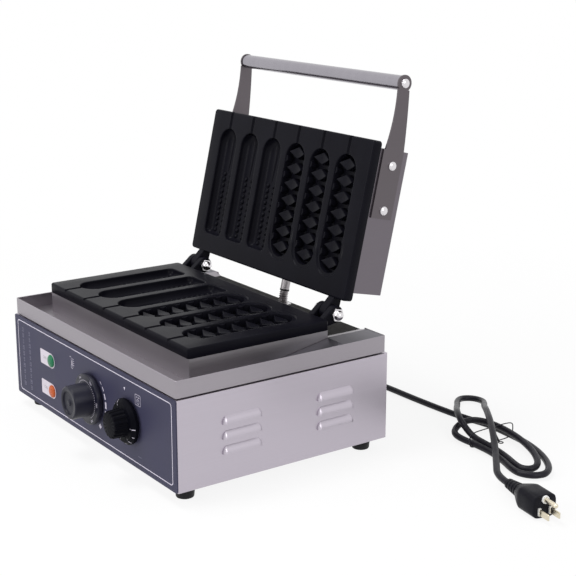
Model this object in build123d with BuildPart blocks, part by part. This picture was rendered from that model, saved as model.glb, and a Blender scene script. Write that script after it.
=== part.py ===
from build123d import *
from math import cos, pi, radians, sin, tan
import os

# A countertop hot dog waffle maker, lid open, in millimetres. +X is the machine's right, +Y its back and
# +Z up. The origin lies on the table under the middle of the machine, with the free cord left out.
# Each group of sizes stands above the pieces that it drives.

# Steel sheet, screws and running fits that many pieces share
sheet = 1.2
running_clearance = 0.05

# Outer case on its four feet
case_width = 370
case_depth = 262.8
case_height = 96
case_flange = 28
case_top_flange = 14
case_bend = 1.5
panel_thickness = 1.2
foot_height = 14
foot_diameter = 21
foot_tip_diameter = 18.5
foot_inset = 20
foot_hole = 6

# Lid hinge: its axis runs along X behind the mould plates, a little above the parting plane
hinge_rear_gap = 40.1
parting_height = 134.8
hinge_rise = 1.2
closed_gap = 0.3
open_angle = 102.8
lean = open_angle - 90

# Mould plates: distances along a plate run from the hinge axis to its free edge
plate_side_gap = 29.5
plate_front_gap = 33.2
plate_near = 16.3
plate_thickness = 11.2
plate_corner = 4
plate_edge_chamfer = 1.6

# Lid housing, measured from the hinge axis like the plates
housing_side_inset = 6.5
housing_far_inset = 7.5
housing_near = 25
housing_back = 54.5

# Controls on the front panel
control_height = 47.5
temperature_x = 8
timer_x = 91
knob_gap = 2
knob_reach = 28

# Places that follow from the sizes above
hinge_setback = case_depth - hinge_rear_gap
plate_width = case_width - 2 * plate_side_gap
plate_far = hinge_setback - plate_front_gap
housing_width = plate_width - 2 * housing_side_inset
housing_far = plate_far - housing_far_inset
lid_rear_reach = hinge_setback + housing_back * cos(radians(lean)) + housing_far * sin(radians(lean))
front = (knob_reach - lid_rear_reach) / 2
shell_front = front + panel_thickness
shell_depth = case_depth - panel_thickness
shell_middle = shell_front + shell_depth / 2
case_rear = front + case_depth
case_bottom = foot_height
case_top = case_bottom + case_height
hinge_y = front + hinge_setback
parting = case_bottom + parting_height
hinge_z = parting + hinge_rise
control_z = case_bottom + control_height
face_drop = hinge_rise - closed_gap
flange_back = plate_thickness - face_drop

# The lid's own directions: up along its plate, and back away from its mould face
lid_up = Vector(0, sin(radians(lean)), cos(radians(lean)))
lid_back = Vector(0, cos(radians(lean)), -sin(radians(lean)))
hinge_point = Vector(0, hinge_y, hinge_z)


def lid_face(back):
    """Plane parallel to the lid's mould face: x along the machine, y up the lid from the hinge axis."""
    return Plane(origin=hinge_point + lid_back * back, x_dir=(1, 0, 0), z_dir=lid_back * -1)


def lid_side(x):
    """Plane across the lid at x: its x runs back from the hinge axis and its y up the lid."""
    return Plane(origin=hinge_point + Vector(x, 0, 0), x_dir=lid_back, z_dir=(1, 0, 0))


def front_face(y):
    """Plane that looks out of the machine's front at y: its x is X and its y is Z."""
    return Plane.XZ.offset(-y)


def ring(width, depth, wall):
    """Hollow rectangle for a folded frame, drawn round the current location."""
    Rectangle(width, depth)
    Rectangle(width - 2 * wall, depth - 2 * wall, mode=Mode.SUBTRACT)


# Case wrap: one folded sheet with inward flanges top and bottom, and louvres stamped in both sides
louvre_length = 47
louvre_height = 8.5
louvre_proud = 4
louvre_rows = 3
louvre_pitch = 15.8
louvre_first = 29.5
louvre_front = 52.5
louvre_rear_gap = 93.8
control_hole = 10
control_screw = 3
control_screw_spread = 28
lamp_x = -90
lamp_heights = (26.5, 62.5)
lamp_hole = 12.1
gland_x = -60
gland_height = 24
gland_hole = 16

louvre_middles = [front + start + louvre_length / 2 for start in (louvre_front, case_depth - louvre_rear_gap)]
louvre_heights = [case_bottom + louvre_first + row * louvre_pitch for row in range(louvre_rows)]
louvre_bulge = (louvre_height ** 2 + louvre_proud ** 2) / (2 * louvre_proud)
louvre_span = louvre_length - 2 * louvre_proud
louvre_places = [
    Location((side * case_width / 2, middle, z), (0, 0, 0 if side > 0 else 180))
    for middle in louvre_middles for z in louvre_heights for side in (-1, 1)
]
control_places = [(x, control_z) for x in (temperature_x, timer_x)]
screw_places = [(x + side * control_screw_spread / 2, z) for x, z in control_places for side in (-1, 1)]
lamp_places = [(lamp_x, case_bottom + height) for height in lamp_heights]


def louvre_profile():
    """Lines of a louvre hood's section: x out of the wall and y up it."""
    Line((0, 0), (louvre_proud, 0))
    RadiusArc((louvre_proud, 0), (0, louvre_height), -louvre_bulge)
    Line((0, louvre_height), (0, 0))


with BuildPart() as louvre:
    with BuildSketch(Plane.XZ):
        with BuildLine():
            louvre_profile()
        make_face()
    extrude(amount=louvre_span / 2, both=True)
    for side in (-1, 1):
        with BuildSketch(Plane.XZ.offset(-side * louvre_span / 2)):
            with BuildLine():
                louvre_profile()
            make_face()
        revolve(axis=Axis((0, side * louvre_span / 2, 0), (0, 0, side)), revolution_arc=90)

with BuildPart() as louvre_slot:
    with Locations((louvre_proud / 2 - sheet, 0, 0)):
        Box(louvre_proud, louvre_span, louvre_height / 2, align=(Align.CENTER, Align.CENTER, Align.MIN))

with BuildPart() as case_wrap:
    with BuildSketch(Plane.XY.offset(case_bottom)):
        with Locations((0, shell_middle)):
            Rectangle(case_width, shell_depth)
    extrude(amount=case_height)
    fillet(case_wrap.edges().filter_by(Axis.Z), case_bend)
    with BuildSketch(Plane.XY.offset(case_bottom + sheet)):
        with Locations((0, shell_middle)):
            Rectangle(case_width - 2 * sheet, shell_depth - 2 * sheet)
    extrude(amount=case_height - 2 * sheet, mode=Mode.SUBTRACT)
    with BuildSketch(Plane.XY.offset(case_bottom)):
        with Locations((0, shell_middle)):
            Rectangle(case_width - 2 * case_flange, shell_depth - 2 * case_flange)
    extrude(amount=case_height, mode=Mode.SUBTRACT)
    with BuildSketch(Plane.XY.offset(case_top)):
        with Locations((0, shell_middle)):
            Rectangle(case_width - 2 * case_top_flange, shell_depth - 2 * case_top_flange)
    extrude(amount=-sheet, mode=Mode.SUBTRACT)
    with BuildSketch(Plane.XY.offset(case_bottom)):
        with Locations((0, shell_middle)):
            with GridLocations(case_width - 2 * foot_inset, case_depth - 2 * foot_inset, 2, 2):
                Circle(foot_hole / 2)
    extrude(amount=sheet, mode=Mode.SUBTRACT)
    with BuildSketch(front_face(shell_front)):
        with Locations(*control_places):
            Circle(control_hole / 2)
        with Locations(*screw_places):
            Circle(control_screw / 2 + running_clearance)
        with Locations(*lamp_places):
            Circle(lamp_hole / 2)
    extrude(amount=-sheet, mode=Mode.SUBTRACT)
    with BuildSketch(front_face(case_rear)):
        with Locations((gland_x, case_bottom + gland_height)):
            Circle(gland_hole / 2)
    extrude(amount=sheet, mode=Mode.SUBTRACT)
    with Locations(*louvre_places):
        add(louvre.part)
        add(louvre_slot.part, mode=Mode.SUBTRACT)


# Vented floor sheet, held down by the foot screws
floor_margin = 0.5
vent_length = 40
vent_width = 4
vent_pitch = 10
vent_count = 8
vent_spread = 150

with BuildPart() as bottom_plate:
    with BuildSketch(Plane.XY.offset(case_bottom + sheet)):
        with Locations((0, shell_middle)):
            Rectangle(case_width - 2 * sheet - floor_margin, shell_depth - 2 * sheet - floor_margin)
            with GridLocations(case_width - 2 * foot_inset, case_depth - 2 * foot_inset, 2, 2):
                Circle(foot_hole / 2, mode=Mode.SUBTRACT)
            with GridLocations(vent_spread, vent_pitch, 2, vent_count):
                SlotOverall(vent_length, vent_width, mode=Mode.SUBTRACT)
    extrude(amount=sheet)

# Rubber feet, each with a pocket for its screw, and the screws that hold them
foot_pocket_depth = 5
foot_screw_head = 10
foot_screw_head_height = 3.5
foot_screw_diameter = 5
foot_nut_height = 4

foot_places = GridLocations(case_width - 2 * foot_inset, case_depth - 2 * foot_inset, 2, 2)
foot_screw_radius = foot_screw_diameter / 2
foot_pocket_top = foot_pocket_depth + foot_screw_head_height

with BuildPart() as rubber_feet:
    for place in foot_places:
        centre = (place.position.X, shell_middle + place.position.Y)
        with BuildSketch(Plane.XY):
            with Locations(centre):
                Circle(foot_tip_diameter / 2)
        with BuildSketch(Plane.XY.offset(foot_height)):
            with Locations(centre):
                Circle(foot_diameter / 2)
        loft()
        with BuildSketch(Plane.XY):
            with Locations(centre):
                Circle(foot_screw_head / 2 + running_clearance)
        extrude(amount=foot_pocket_top, mode=Mode.SUBTRACT)
        with BuildSketch(Plane.XY):
            with Locations(centre):
                Circle(foot_screw_radius + running_clearance)
        extrude(amount=foot_height, mode=Mode.SUBTRACT)

with BuildPart() as foot_screws:
    for place in foot_places:
        centre = (place.position.X, shell_middle + place.position.Y)
        with BuildSketch(Plane.XY.offset(foot_pocket_depth)):
            with Locations(centre):
                Circle(foot_screw_head / 2)
        extrude(amount=foot_screw_head_height)
        with BuildSketch(Plane.XY.offset(foot_pocket_depth)):
            with Locations(centre):
                Circle(foot_screw_radius)
        extrude(amount=case_bottom + 2 * sheet + foot_nut_height - foot_pocket_depth)
        with BuildSketch(Plane.XY.offset(case_bottom + 2 * sheet)):
            with Locations(centre):
                RegularPolygon(foot_screw_diameter, 6)
        extrude(amount=foot_nut_height)

# Front panel: a dark printed plate over the whole front
panel_corner = 2.5

with BuildPart() as control_panel:
    with BuildSketch(front_face(shell_front)):
        with Locations((0, case_bottom + case_height / 2)):
            RectangleRounded(case_width, case_height, panel_corner)
        with Locations(*control_places):
            Circle(control_hole / 2, mode=Mode.SUBTRACT)
        with Locations(*screw_places):
            Circle(control_screw / 2 + running_clearance, mode=Mode.SUBTRACT)
        with Locations(*lamp_places):
            Circle(lamp_hole / 2, mode=Mode.SUBTRACT)
    extrude(amount=panel_thickness)

# Drip tray: a folded pan whose rim stands round the mould, on a recessed ring above the case
tray_inset = 1.8
tray_seam = 1.3
rim_height = 18.1
rim_drop = 15.1
tray_ring_inset = 6
collar_inset = 1.2
collar_ledge = 5
collar_wall = 1
tray_opening_front = 42
tray_opening_rear_gap = 62.8

tray_width = case_width - 2 * tray_inset
tray_depth = case_depth - 2 * tray_inset
tray_middle = front + case_depth / 2
tray_bottom = case_top + tray_seam
tray_top = tray_bottom + rim_height
tray_floor_top = tray_top - rim_drop
collar_width = plate_width - 2 * collar_inset
collar_front = hinge_y - plate_far + collar_inset
collar_rear = hinge_y - plate_near - collar_inset
collar_middle = (collar_front + collar_rear) / 2
collar_depth = collar_rear - collar_front
opening_width = collar_width - 2 * collar_wall - 2 * collar_ledge
tray_opening_rear = case_depth - tray_opening_rear_gap
opening_middle = front + (tray_opening_front + tray_opening_rear) / 2
opening_depth = tray_opening_rear - tray_opening_front
conduit_x = 19
conduit_back = 22.4
conduit_diameter = 10.3
conduit_hole = 12.3
hose_upper_run = 9
lid_conduit = hinge_point + lid_back * conduit_back + lid_up * housing_near
hose_top = hinge_point + lid_back * conduit_back + Vector(conduit_x, 0, 0)
hose_corner = hose_top - lid_up * hose_upper_run
conduit_y = hose_corner.Y

with BuildPart() as top_tray:
    with BuildSketch(Plane.XY.offset(tray_bottom)):
        with Locations((0, tray_middle)):
            ring(tray_width, tray_depth, sheet)
    extrude(amount=rim_height)
    with BuildSketch(Plane.XY.offset(tray_floor_top - sheet)):
        with Locations((0, tray_middle)):
            Rectangle(tray_width, tray_depth)
        with Locations((0, opening_middle)):
            Rectangle(opening_width, opening_depth, mode=Mode.SUBTRACT)
        with Locations((conduit_x, conduit_y)):
            Circle(conduit_hole / 2, mode=Mode.SUBTRACT)
    extrude(amount=sheet)
    with BuildSketch(Plane.XY.offset(case_top)):
        with Locations((0, tray_middle)):
            ring(tray_width - 2 * tray_ring_inset, tray_depth - 2 * tray_ring_inset, sheet)
    extrude(amount=tray_floor_top - sheet - case_top)

# Plinth under the lower mould: a folded collar with an inward ledge that the plate lies on
plate_underside = parting - plate_thickness

with BuildPart() as mould_collar:
    with BuildSketch(Plane.XY.offset(tray_floor_top)):
        with Locations((0, collar_middle)):
            ring(collar_width, collar_depth, collar_wall)
    extrude(amount=plate_underside - tray_floor_top)
    with BuildSketch(Plane.XY.offset(plate_underside - collar_wall)):
        with Locations((0, collar_middle)):
            ring(collar_width, collar_depth, collar_ledge)
    extrude(amount=collar_wall)

# Rear deck: a folded cover from the plinth to the rear rim, which carries the conduit
deck_drop = 3.1
deck_gap = 0.3

deck_front = collar_rear + deck_gap
deck_rear = front + case_depth - tray_inset - sheet - deck_gap
deck_top = tray_top - deck_drop

with BuildPart() as rear_deck:
    with BuildSketch(Plane.XY.offset(tray_floor_top)):
        with Locations((0, (deck_front + deck_rear) / 2)):
            Rectangle(collar_width, deck_rear - deck_front)
    extrude(amount=deck_top - tray_floor_top)
    with BuildSketch(Plane.XY.offset(tray_floor_top)):
        with Locations((0, (deck_front + deck_rear) / 2)):
            Rectangle(collar_width - 2 * collar_wall, deck_rear - deck_front)
    extrude(amount=deck_top - tray_floor_top - collar_wall, mode=Mode.SUBTRACT)
    with BuildSketch(Plane.XY.offset(tray_floor_top)):
        with Locations((conduit_x, conduit_y)):
            Circle(conduit_hole / 2)
    extrude(amount=deck_top - tray_floor_top, mode=Mode.SUBTRACT)

# Mould plates: two castings with six stick cavities each. Three are smooth with round pips, and three
# hold a row of diamond posts. Each plate is drawn on its face, from the hinge axis to its free edge.
cavity_count = 6
cavity_margin = 39.75
cavity_rib = 11
cavity_near = 39.2
cavity_far_inset = 20.5
cavity_depth = 11
cavity_draft = 8
cavity_floor = 4.8
block_side_inset = 13.5
block_near = 31
block_far_inset = 12.5
block_corner = 8
stick_groove_radius = 2.5
post_count = 7
post_first = 49.6
post_last_inset = 11.4
post_side_gap = 5.15
post_length = 15.5
post_height = 6
post_draft = 10
pip_rows = 11
pip_columns = 2
pip_pitch = 6.9
pip_column_pitch = 13
pip_first = 45
pip_radius = 3
pip_height = 2.4
pip_draft = 30
pip_sides = 8
hinge_inset = 23
hinge_bolt_diameter = 8
lug_radius = 8.5
lower_lug_width = 8
upper_lug_width = 11.2
lug_root = 3
lug_drop = 2.5
lug_spread = 20

cavity_pitch = (plate_width - 2 * cavity_margin) / (cavity_count - 1)
cavity_width = cavity_pitch - cavity_rib
cavity_far = plate_far - cavity_far_inset
block_width = plate_width - 2 * block_side_inset
block_far = plate_far - block_far_inset
post_pitch = (cavity_far - post_last_inset - post_first) / (post_count - 1)
post_width = cavity_width - 2 * post_side_gap
hinge_spread = plate_width - 2 * hinge_inset
plate_length = plate_far - plate_near
plate_middle = (plate_far + plate_near) / 2
cavity_length = cavity_far - cavity_near
cavity_middle = (cavity_far + cavity_near) / 2
block_depth = cavity_depth + cavity_floor - plate_thickness
cavity_xs = [(column - (cavity_count - 1) / 2) * cavity_pitch for column in range(cavity_count)]
corn_xs = [x for x in cavity_xs if x < 0]
diamond_xs = [x for x in cavity_xs if x > 0]
hinge_xs = (-hinge_spread / 2, hinge_spread / 2)
lower_lug_xs = [x + side * lug_spread / 2 for x in hinge_xs for side in (-1, 1)]
bolt_hole_radius = hinge_bolt_diameter / 2 + running_clearance


def mould_plate(face, lug_xs, lug_width):
    """Casting on a plane whose origin is under the hinge axis: y runs to the free edge, z out of the mould."""
    side = face.x_dir.X
    with BuildPart() as plate:
        with BuildSketch(face):
            with Locations((0, plate_middle)):
                RectangleRounded(plate_width, plate_length, plate_corner)
        extrude(amount=-plate_thickness)
        rim = plate.faces().sort_by(Axis(face.origin, face.z_dir))[-1].outer_wire().edges()
        chamfer(rim, plate_edge_chamfer)
        with BuildSketch(face.offset(-plate_thickness)):
            with Locations((0, (block_near + block_far) / 2)):
                RectangleRounded(block_width, block_far - block_near, block_corner)
        extrude(amount=-block_depth)
        for x in lug_xs:
            with BuildSketch(Plane(origin=(x, hinge_y, hinge_z), x_dir=face.y_dir, z_dir=face.x_dir)):
                Circle(lug_radius)
                face_height = (face.origin - hinge_point).dot(face.z_dir)
                with Locations((plate_near + lug_root / 2, face_height - (plate_thickness + lug_drop) / 2)):
                    Rectangle(lug_root, plate_thickness - lug_drop)
                make_hull()
            extrude(amount=lug_width / 2, both=True)
            with BuildSketch(Plane(origin=(x, hinge_y, hinge_z), x_dir=face.y_dir, z_dir=face.x_dir)):
                Circle(bolt_hole_radius)
            extrude(amount=lug_width / 2, both=True, mode=Mode.SUBTRACT)
        with BuildSketch(face):
            for x in corn_xs:
                with Locations((side * x, cavity_far - cavity_width / 2)):
                    Circle(cavity_width / 2)
                with Locations((side * x, (cavity_near + cavity_far - cavity_width / 2) / 2)):
                    Rectangle(cavity_width, cavity_length - cavity_width / 2)
            for x in diamond_xs:
                with Locations((side * x, cavity_middle)):
                    SlotOverall(cavity_length, cavity_width, rotation=90)
        extrude(amount=-cavity_depth, taper=cavity_draft, mode=Mode.SUBTRACT)
        with BuildSketch(Plane(origin=face.origin + face.y_dir * plate_far, x_dir=face.x_dir, z_dir=face.y_dir)):
            with Locations(*[(side * x, 0) for x in cavity_xs]):
                Circle(stick_groove_radius)
        extrude(amount=cavity_far - plate_far - cavity_width / 4, mode=Mode.SUBTRACT)
        with BuildSketch(face.offset(-cavity_depth)):
            for x in diamond_xs:
                for row in range(post_count):
                    with Locations((side * x, post_first + row * post_pitch)):
                        Polygon((-post_width / 2, 0), (0, -post_length / 2), (post_width / 2, 0),
                                (0, post_length / 2))
        extrude(amount=post_height, taper=post_draft)
        with BuildSketch(face.offset(-cavity_depth)):
            for x in corn_xs:
                pip_middle = pip_first + (pip_rows - 1) * pip_pitch / 2
                with Locations((side * x, pip_middle)):
                    with GridLocations(pip_column_pitch, pip_pitch, pip_columns, pip_rows):
                        RegularPolygon(pip_radius, pip_sides)
        extrude(amount=pip_height, taper=pip_draft)
    return plate


lower_face = Plane(origin=(0, hinge_y, parting), x_dir=(-1, 0, 0), z_dir=(0, 0, 1))
upper_face = lid_face(-face_drop)
lower_mould_plate = mould_plate(lower_face, lower_lug_xs, lower_lug_width)
upper_mould_plate = mould_plate(upper_face, hinge_xs, upper_lug_width)

# Hinge bolts, fixed in the lower clevises, with a round head at the left and a domed nut at the right
bolt_head_diameter = 12
bolt_head_height = 5
nut_width = 13
nut_height = 3.5
nut_dome_radius = 5.6

clevis_half = (lug_spread + lower_lug_width) / 2

with BuildPart() as hinge_bolts:
    for x in hinge_xs:
        with BuildSketch(lid_side(x - clevis_half)):
            Circle(bolt_head_diameter / 2)
        extrude(amount=-bolt_head_height)
        with BuildSketch(lid_side(x - clevis_half)):
            Circle(hinge_bolt_diameter / 2)
        extrude(amount=2 * clevis_half)

with BuildPart() as hinge_nuts:
    for x in hinge_xs:
        with BuildSketch(lid_side(x + clevis_half)):
            RegularPolygon(nut_width / 2, 6, major_radius=False)
        extrude(amount=nut_height)
        with BuildSketch(Plane(origin=hinge_point + Vector(x + clevis_half + nut_height, 0, 0))):
            with BuildLine():
                Line((0, 0), (nut_dome_radius, 0))
                RadiusArc((nut_dome_radius, 0), (0, nut_dome_radius), -nut_dome_radius)
                Line((0, nut_dome_radius), (0, 0))
            make_face()
        revolve(axis=Axis(hinge_point, (1, 0, 0)))

# Heating elements: a hairpin of steel-clad rod pressed on the back of each mould block by two bars
element_diameter = 6.5
element_margin = 31
element_reach_inset = 24
element_tail_inset = 16
element_gap = 0.1
clamp_width = 12
clamp_thickness = 2
clamp_overhang = 14
clamp_inset = 67
clamp_screw_diameter = 4
clamp_screw_head = 8
clamp_screw_head_height = 2.5

block_middle = (block_near + block_far) / 2
element_spread = block_far - block_near - 2 * element_margin
element_reach = block_width / 2 - element_reach_inset
element_tail = block_width / 2 - element_tail_inset
clamp_length = element_spread + 2 * clamp_overhang
clamp_spread = block_width - 2 * clamp_inset
block_back = cavity_depth + cavity_floor
element_level = block_back + element_gap + element_diameter / 2
clamp_level = element_level + element_diameter / 2
clamp_screw_spread = clamp_length - clamp_width


def hairpin(face):
    """Rod with two legs along x on a level behind the mould block."""
    level = face.offset(-element_level)
    low, high = block_middle - element_spread / 2, block_middle + element_spread / 2
    with BuildPart() as rod:
        with BuildLine(level) as path:
            Polyline((-element_tail, low), (element_reach - element_spread / 2, low))
            RadiusArc((element_reach - element_spread / 2, low), (element_reach - element_spread / 2, high),
                      -element_spread / 2)
            Polyline((element_reach - element_spread / 2, high), (-element_tail, high))
        with BuildSketch(Plane(origin=path.line @ 0, z_dir=path.line % 0)):
            Circle(element_diameter / 2)
        sweep(path=path.line)
    return rod


def clamp_bars(face):
    """Two flat bars across both legs of the hairpin."""
    with BuildPart() as bars:
        with BuildSketch(face.offset(-clamp_level)):
            with Locations((-clamp_spread / 2, block_middle), (clamp_spread / 2, block_middle)):
                Rectangle(clamp_width, clamp_length)
                with GridLocations(clamp_width, clamp_screw_spread, 1, 2):
                    Circle(clamp_screw_diameter / 2 + running_clearance, mode=Mode.SUBTRACT)
        extrude(amount=-clamp_thickness)
    return bars


def clamp_screws(face):
    """Screws that stand on the back of the mould block and hold the bars, with the head behind the bar."""
    with BuildPart() as screws:
        with BuildSketch(face.offset(-block_back)):
            with GridLocations(clamp_spread, clamp_screw_spread, 2, 2):
                with Locations((0, block_middle)):
                    Circle(clamp_screw_diameter / 2)
        extrude(amount=block_back - clamp_level - clamp_thickness)
        with BuildSketch(face.offset(-clamp_level - clamp_thickness)):
            with GridLocations(clamp_spread, clamp_screw_spread, 2, 2):
                with Locations((0, block_middle)):
                    Circle(clamp_screw_head / 2)
        extrude(amount=-clamp_screw_head_height)
    return screws


lower_heating_element = hairpin(lower_face)
upper_heating_element = hairpin(upper_face)
lower_element_clamps = clamp_bars(lower_face)
upper_element_clamps = clamp_bars(upper_face)
lower_clamp_screws = clamp_screws(lower_face)
upper_clamp_screws = clamp_screws(upper_face)

# Heat shields: a flat sheet on the tray floor, and a shallow pan behind the upper element
shield_margin = 0.4
shield_thickness = 0.8
shield_hole = 6
capillary_x = -12
pan_depth = 17
pan_near = 29

with BuildPart() as lower_heat_shield:
    with BuildSketch(Plane.XY.offset(tray_floor_top)):
        with Locations((0, collar_middle)):
            Rectangle(collar_width - 2 * collar_wall - shield_margin,
                      collar_depth - 2 * collar_wall - shield_margin)
        with Locations((capillary_x, hinge_y - block_middle)):
            Circle(shield_hole / 2, mode=Mode.SUBTRACT)
    extrude(amount=shield_thickness)

pan_width = housing_width - 2 * sheet - shield_margin
pan_far = housing_far - sheet - shield_margin
pan_length = pan_far - pan_near
pan_middle = (pan_far + pan_near) / 2
housing_middle = (housing_far + housing_near) / 2

with BuildPart() as upper_heat_shield:
    with BuildSketch(lid_face(flange_back)):
        with Locations((0, pan_middle)):
            ring(pan_width, pan_length, shield_thickness)
    extrude(amount=-pan_depth)
    with BuildSketch(lid_face(flange_back + pan_depth)):
        with Locations((0, pan_middle)):
            Rectangle(pan_width, pan_length)
    extrude(amount=-shield_thickness)

# Lid housing: a folded steel box behind the upper plate, with holes for the arm bolts and the conduit
housing_bend = 1.5
arm_thickness = 2
arm_bolt_diameter = 5
arm_front = 18
arm_rear = 46
arm_foot_drop = 74
arm_bolt_back = 33
arm_bolt_drops = (65, 16.5)

arm_foot = housing_far - arm_foot_drop
arm_bolt_places = [(arm_bolt_back, housing_far - drop) for drop in arm_bolt_drops]

with BuildPart() as lid_housing:
    with BuildSketch(lid_face(flange_back)):
        with Locations((0, housing_middle)):
            Rectangle(housing_width, housing_far - housing_near)
    extrude(amount=flange_back - housing_back)
    fillet(lid_housing.edges().group_by(Axis(hinge_point, lid_back))[-1], housing_bend)
    with BuildSketch(lid_face(flange_back)):
        with Locations((0, housing_middle)):
            Rectangle(housing_width - 2 * sheet, housing_far - housing_near - 2 * sheet)
    extrude(amount=flange_back - housing_back + sheet, mode=Mode.SUBTRACT)
    with BuildSketch(lid_side(-housing_width / 2)):
        with Locations(*arm_bolt_places):
            Circle(arm_bolt_diameter / 2 + running_clearance)
    extrude(amount=housing_width, mode=Mode.SUBTRACT)
    with BuildSketch(Plane(origin=lid_conduit, x_dir=(1, 0, 0), z_dir=lid_up)):
        with Locations((conduit_x, 0)):
            Circle(conduit_diameter / 2 + running_clearance)
    extrude(amount=sheet, mode=Mode.SUBTRACT)

# Handle: a steel bar between two sheet arms that taper in a curve from the lid's sides to the bar
bar_back = 29
bar_rise = 71.4
bar_diameter = 16
eye_radius = 9
arm_taper_front = (20, 23.4, 21.5)
arm_taper_rear = (45.7, 42.2, 37)
arm_taper_rises = (31, 65)
end_bolt_diameter = 6
end_bolt_depth = 18
bolt_dome_diameter = 10.5
bolt_dome_height = 3.4
dome_height_share = 0.72
dome_radius_share = 0.6
arm_nut_width = 8
arm_nut_height = 4

arm_inner = housing_width / 2
bar_height = housing_far + bar_rise
arm_taper_heights = [housing_far + rise for rise in arm_taper_rises]
dome_shoulder = bolt_dome_diameter / 2 * dome_radius_share


def handle_arm(side):
    """Arm on one side of the lid, drawn on the lid's side plane."""
    with BuildPart() as arm:
        with BuildSketch(lid_side(side * arm_inner)):
            with Locations(((arm_front + arm_rear) / 2, (arm_foot + housing_far) / 2)):
                Rectangle(arm_rear - arm_front, housing_far - arm_foot)
            with BuildLine():
                ThreePointArc((arm_taper_rear[0], housing_far), (arm_taper_rear[1], arm_taper_heights[0]),
                              (arm_taper_rear[2], arm_taper_heights[1]))
                Polyline((arm_taper_rear[2], arm_taper_heights[1]), (arm_taper_front[2], arm_taper_heights[1]))
                ThreePointArc((arm_taper_front[2], arm_taper_heights[1]),
                              (arm_taper_front[1], arm_taper_heights[0]), (arm_taper_front[0], housing_far))
                Polyline((arm_taper_front[0], housing_far), (arm_taper_rear[0], housing_far))
            make_face()
            with Locations((bar_back, bar_height)):
                Circle(eye_radius)
                Circle(end_bolt_diameter / 2 + running_clearance, mode=Mode.SUBTRACT)
            with Locations(*arm_bolt_places):
                Circle(arm_bolt_diameter / 2 + running_clearance, mode=Mode.SUBTRACT)
        extrude(amount=side * arm_thickness)
    return arm


def dome_bolts(places, diameter, depth):
    """Domed bolts through both arms at places given back from and up from the hinge axis."""
    with BuildPart() as bolts:
        for side in (-1, 1):
            face_x = side * (arm_inner + arm_thickness)
            for back, up in places:
                centre = hinge_point + lid_back * back + lid_up * up
                with BuildSketch(Plane(origin=centre + Vector(face_x, 0, 0), x_dir=(side, 0, 0),
                                       z_dir=lid_up * side)):
                    with BuildLine():
                        Line((0, 0), (bolt_dome_height, 0))
                        ThreePointArc((bolt_dome_height, 0), (dome_height_share * bolt_dome_height, dome_shoulder),
                                      (0, bolt_dome_diameter / 2))
                        Line((0, bolt_dome_diameter / 2), (0, 0))
                    make_face()
                revolve(axis=Axis(centre, (side, 0, 0)))
                with BuildSketch(lid_side(face_x)):
                    with Locations((back, up)):
                        Circle(diameter / 2)
                extrude(amount=-side * depth)
    return bolts


handle_arm_left = handle_arm(-1)
handle_arm_right = handle_arm(1)
arm_bolts = dome_bolts(arm_bolt_places, arm_bolt_diameter, arm_thickness + sheet + arm_nut_height)
handle_end_bolts = dome_bolts([(bar_back, bar_height)], end_bolt_diameter, arm_thickness + end_bolt_depth)

with BuildPart() as arm_nuts:
    for side in (-1, 1):
        with BuildSketch(lid_side(side * (arm_inner - sheet))):
            with Locations(*arm_bolt_places):
                RegularPolygon(arm_nut_width / 2, 6, major_radius=False)
                Circle(arm_bolt_diameter / 2 + running_clearance, mode=Mode.SUBTRACT)
        extrude(amount=-side * arm_nut_height)

with BuildPart() as handle_bar:
    with BuildSketch(lid_side(-arm_inner)):
        with Locations((bar_back, bar_height)):
            Circle(bar_diameter / 2)
    extrude(amount=2 * arm_inner)
    for side in (-1, 1):
        with BuildSketch(lid_side(side * arm_inner)):
            with Locations((bar_back, bar_height)):
                Circle(end_bolt_diameter / 2 + running_clearance)
        extrude(amount=-side * end_bolt_depth, mode=Mode.SUBTRACT)

# Conduit: a ribbed hose between a fitting on the deck and a smooth ferrule on the lid
ferrule_gap = 2
ferrule_inside = 2
ferrule_flange = 15
ferrule_flange_thickness = 1.5
conduit_bore = 7
ring_diameter = 10.8
fitting_width = 16
fitting_height = 4
fitting_stub = 9
fitting_bore = 10.9
hose_bend_radius = 40
hose_lower_end = 8
rib_pitch = 2.2
rib_depth = 0.9
rib_crest_share = 0.4
rib_slope_share = 0.15


def ferrule_plane(up):
    """Plane across the conduit where it leaves the lid: its z runs up the lid."""
    return Plane(origin=hose_top + lid_up * up, x_dir=(1, 0, 0), z_dir=lid_up)


with BuildPart() as conduit_lid_fitting:
    with BuildSketch(ferrule_plane(ferrule_gap)):
        Circle(conduit_diameter / 2)
    extrude(amount=housing_near + sheet + ferrule_inside - ferrule_gap)
    with BuildSketch(ferrule_plane(housing_near + sheet)):
        Circle(ferrule_flange / 2)
    extrude(amount=ferrule_flange_thickness)
    with BuildSketch(ferrule_plane(ferrule_gap)):
        Circle(conduit_bore / 2)
    extrude(amount=housing_near + sheet + ferrule_inside - ferrule_gap, mode=Mode.SUBTRACT)

with BuildPart() as conduit_ring:
    with BuildSketch(ferrule_plane(0)):
        Circle(ring_diameter / 2)
        Circle(conduit_bore / 2, mode=Mode.SUBTRACT)
    extrude(amount=ferrule_gap)

with BuildPart() as conduit_base_fitting:
    with BuildSketch(Plane.XY.offset(deck_top)):
        with Locations((conduit_x, conduit_y)):
            RegularPolygon(fitting_width / 2, 6, major_radius=False)
    extrude(amount=fitting_height)
    with BuildSketch(Plane.XY.offset(deck_top)):
        with Locations((conduit_x, conduit_y)):
            Circle(conduit_hole / 2 - running_clearance)
    extrude(amount=-fitting_stub)
    with BuildSketch(Plane.XY.offset(deck_top - fitting_stub)):
        with Locations((conduit_x, conduit_y)):
            Circle(fitting_bore / 2)
    extrude(amount=fitting_stub + fitting_height, mode=Mode.SUBTRACT)

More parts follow.
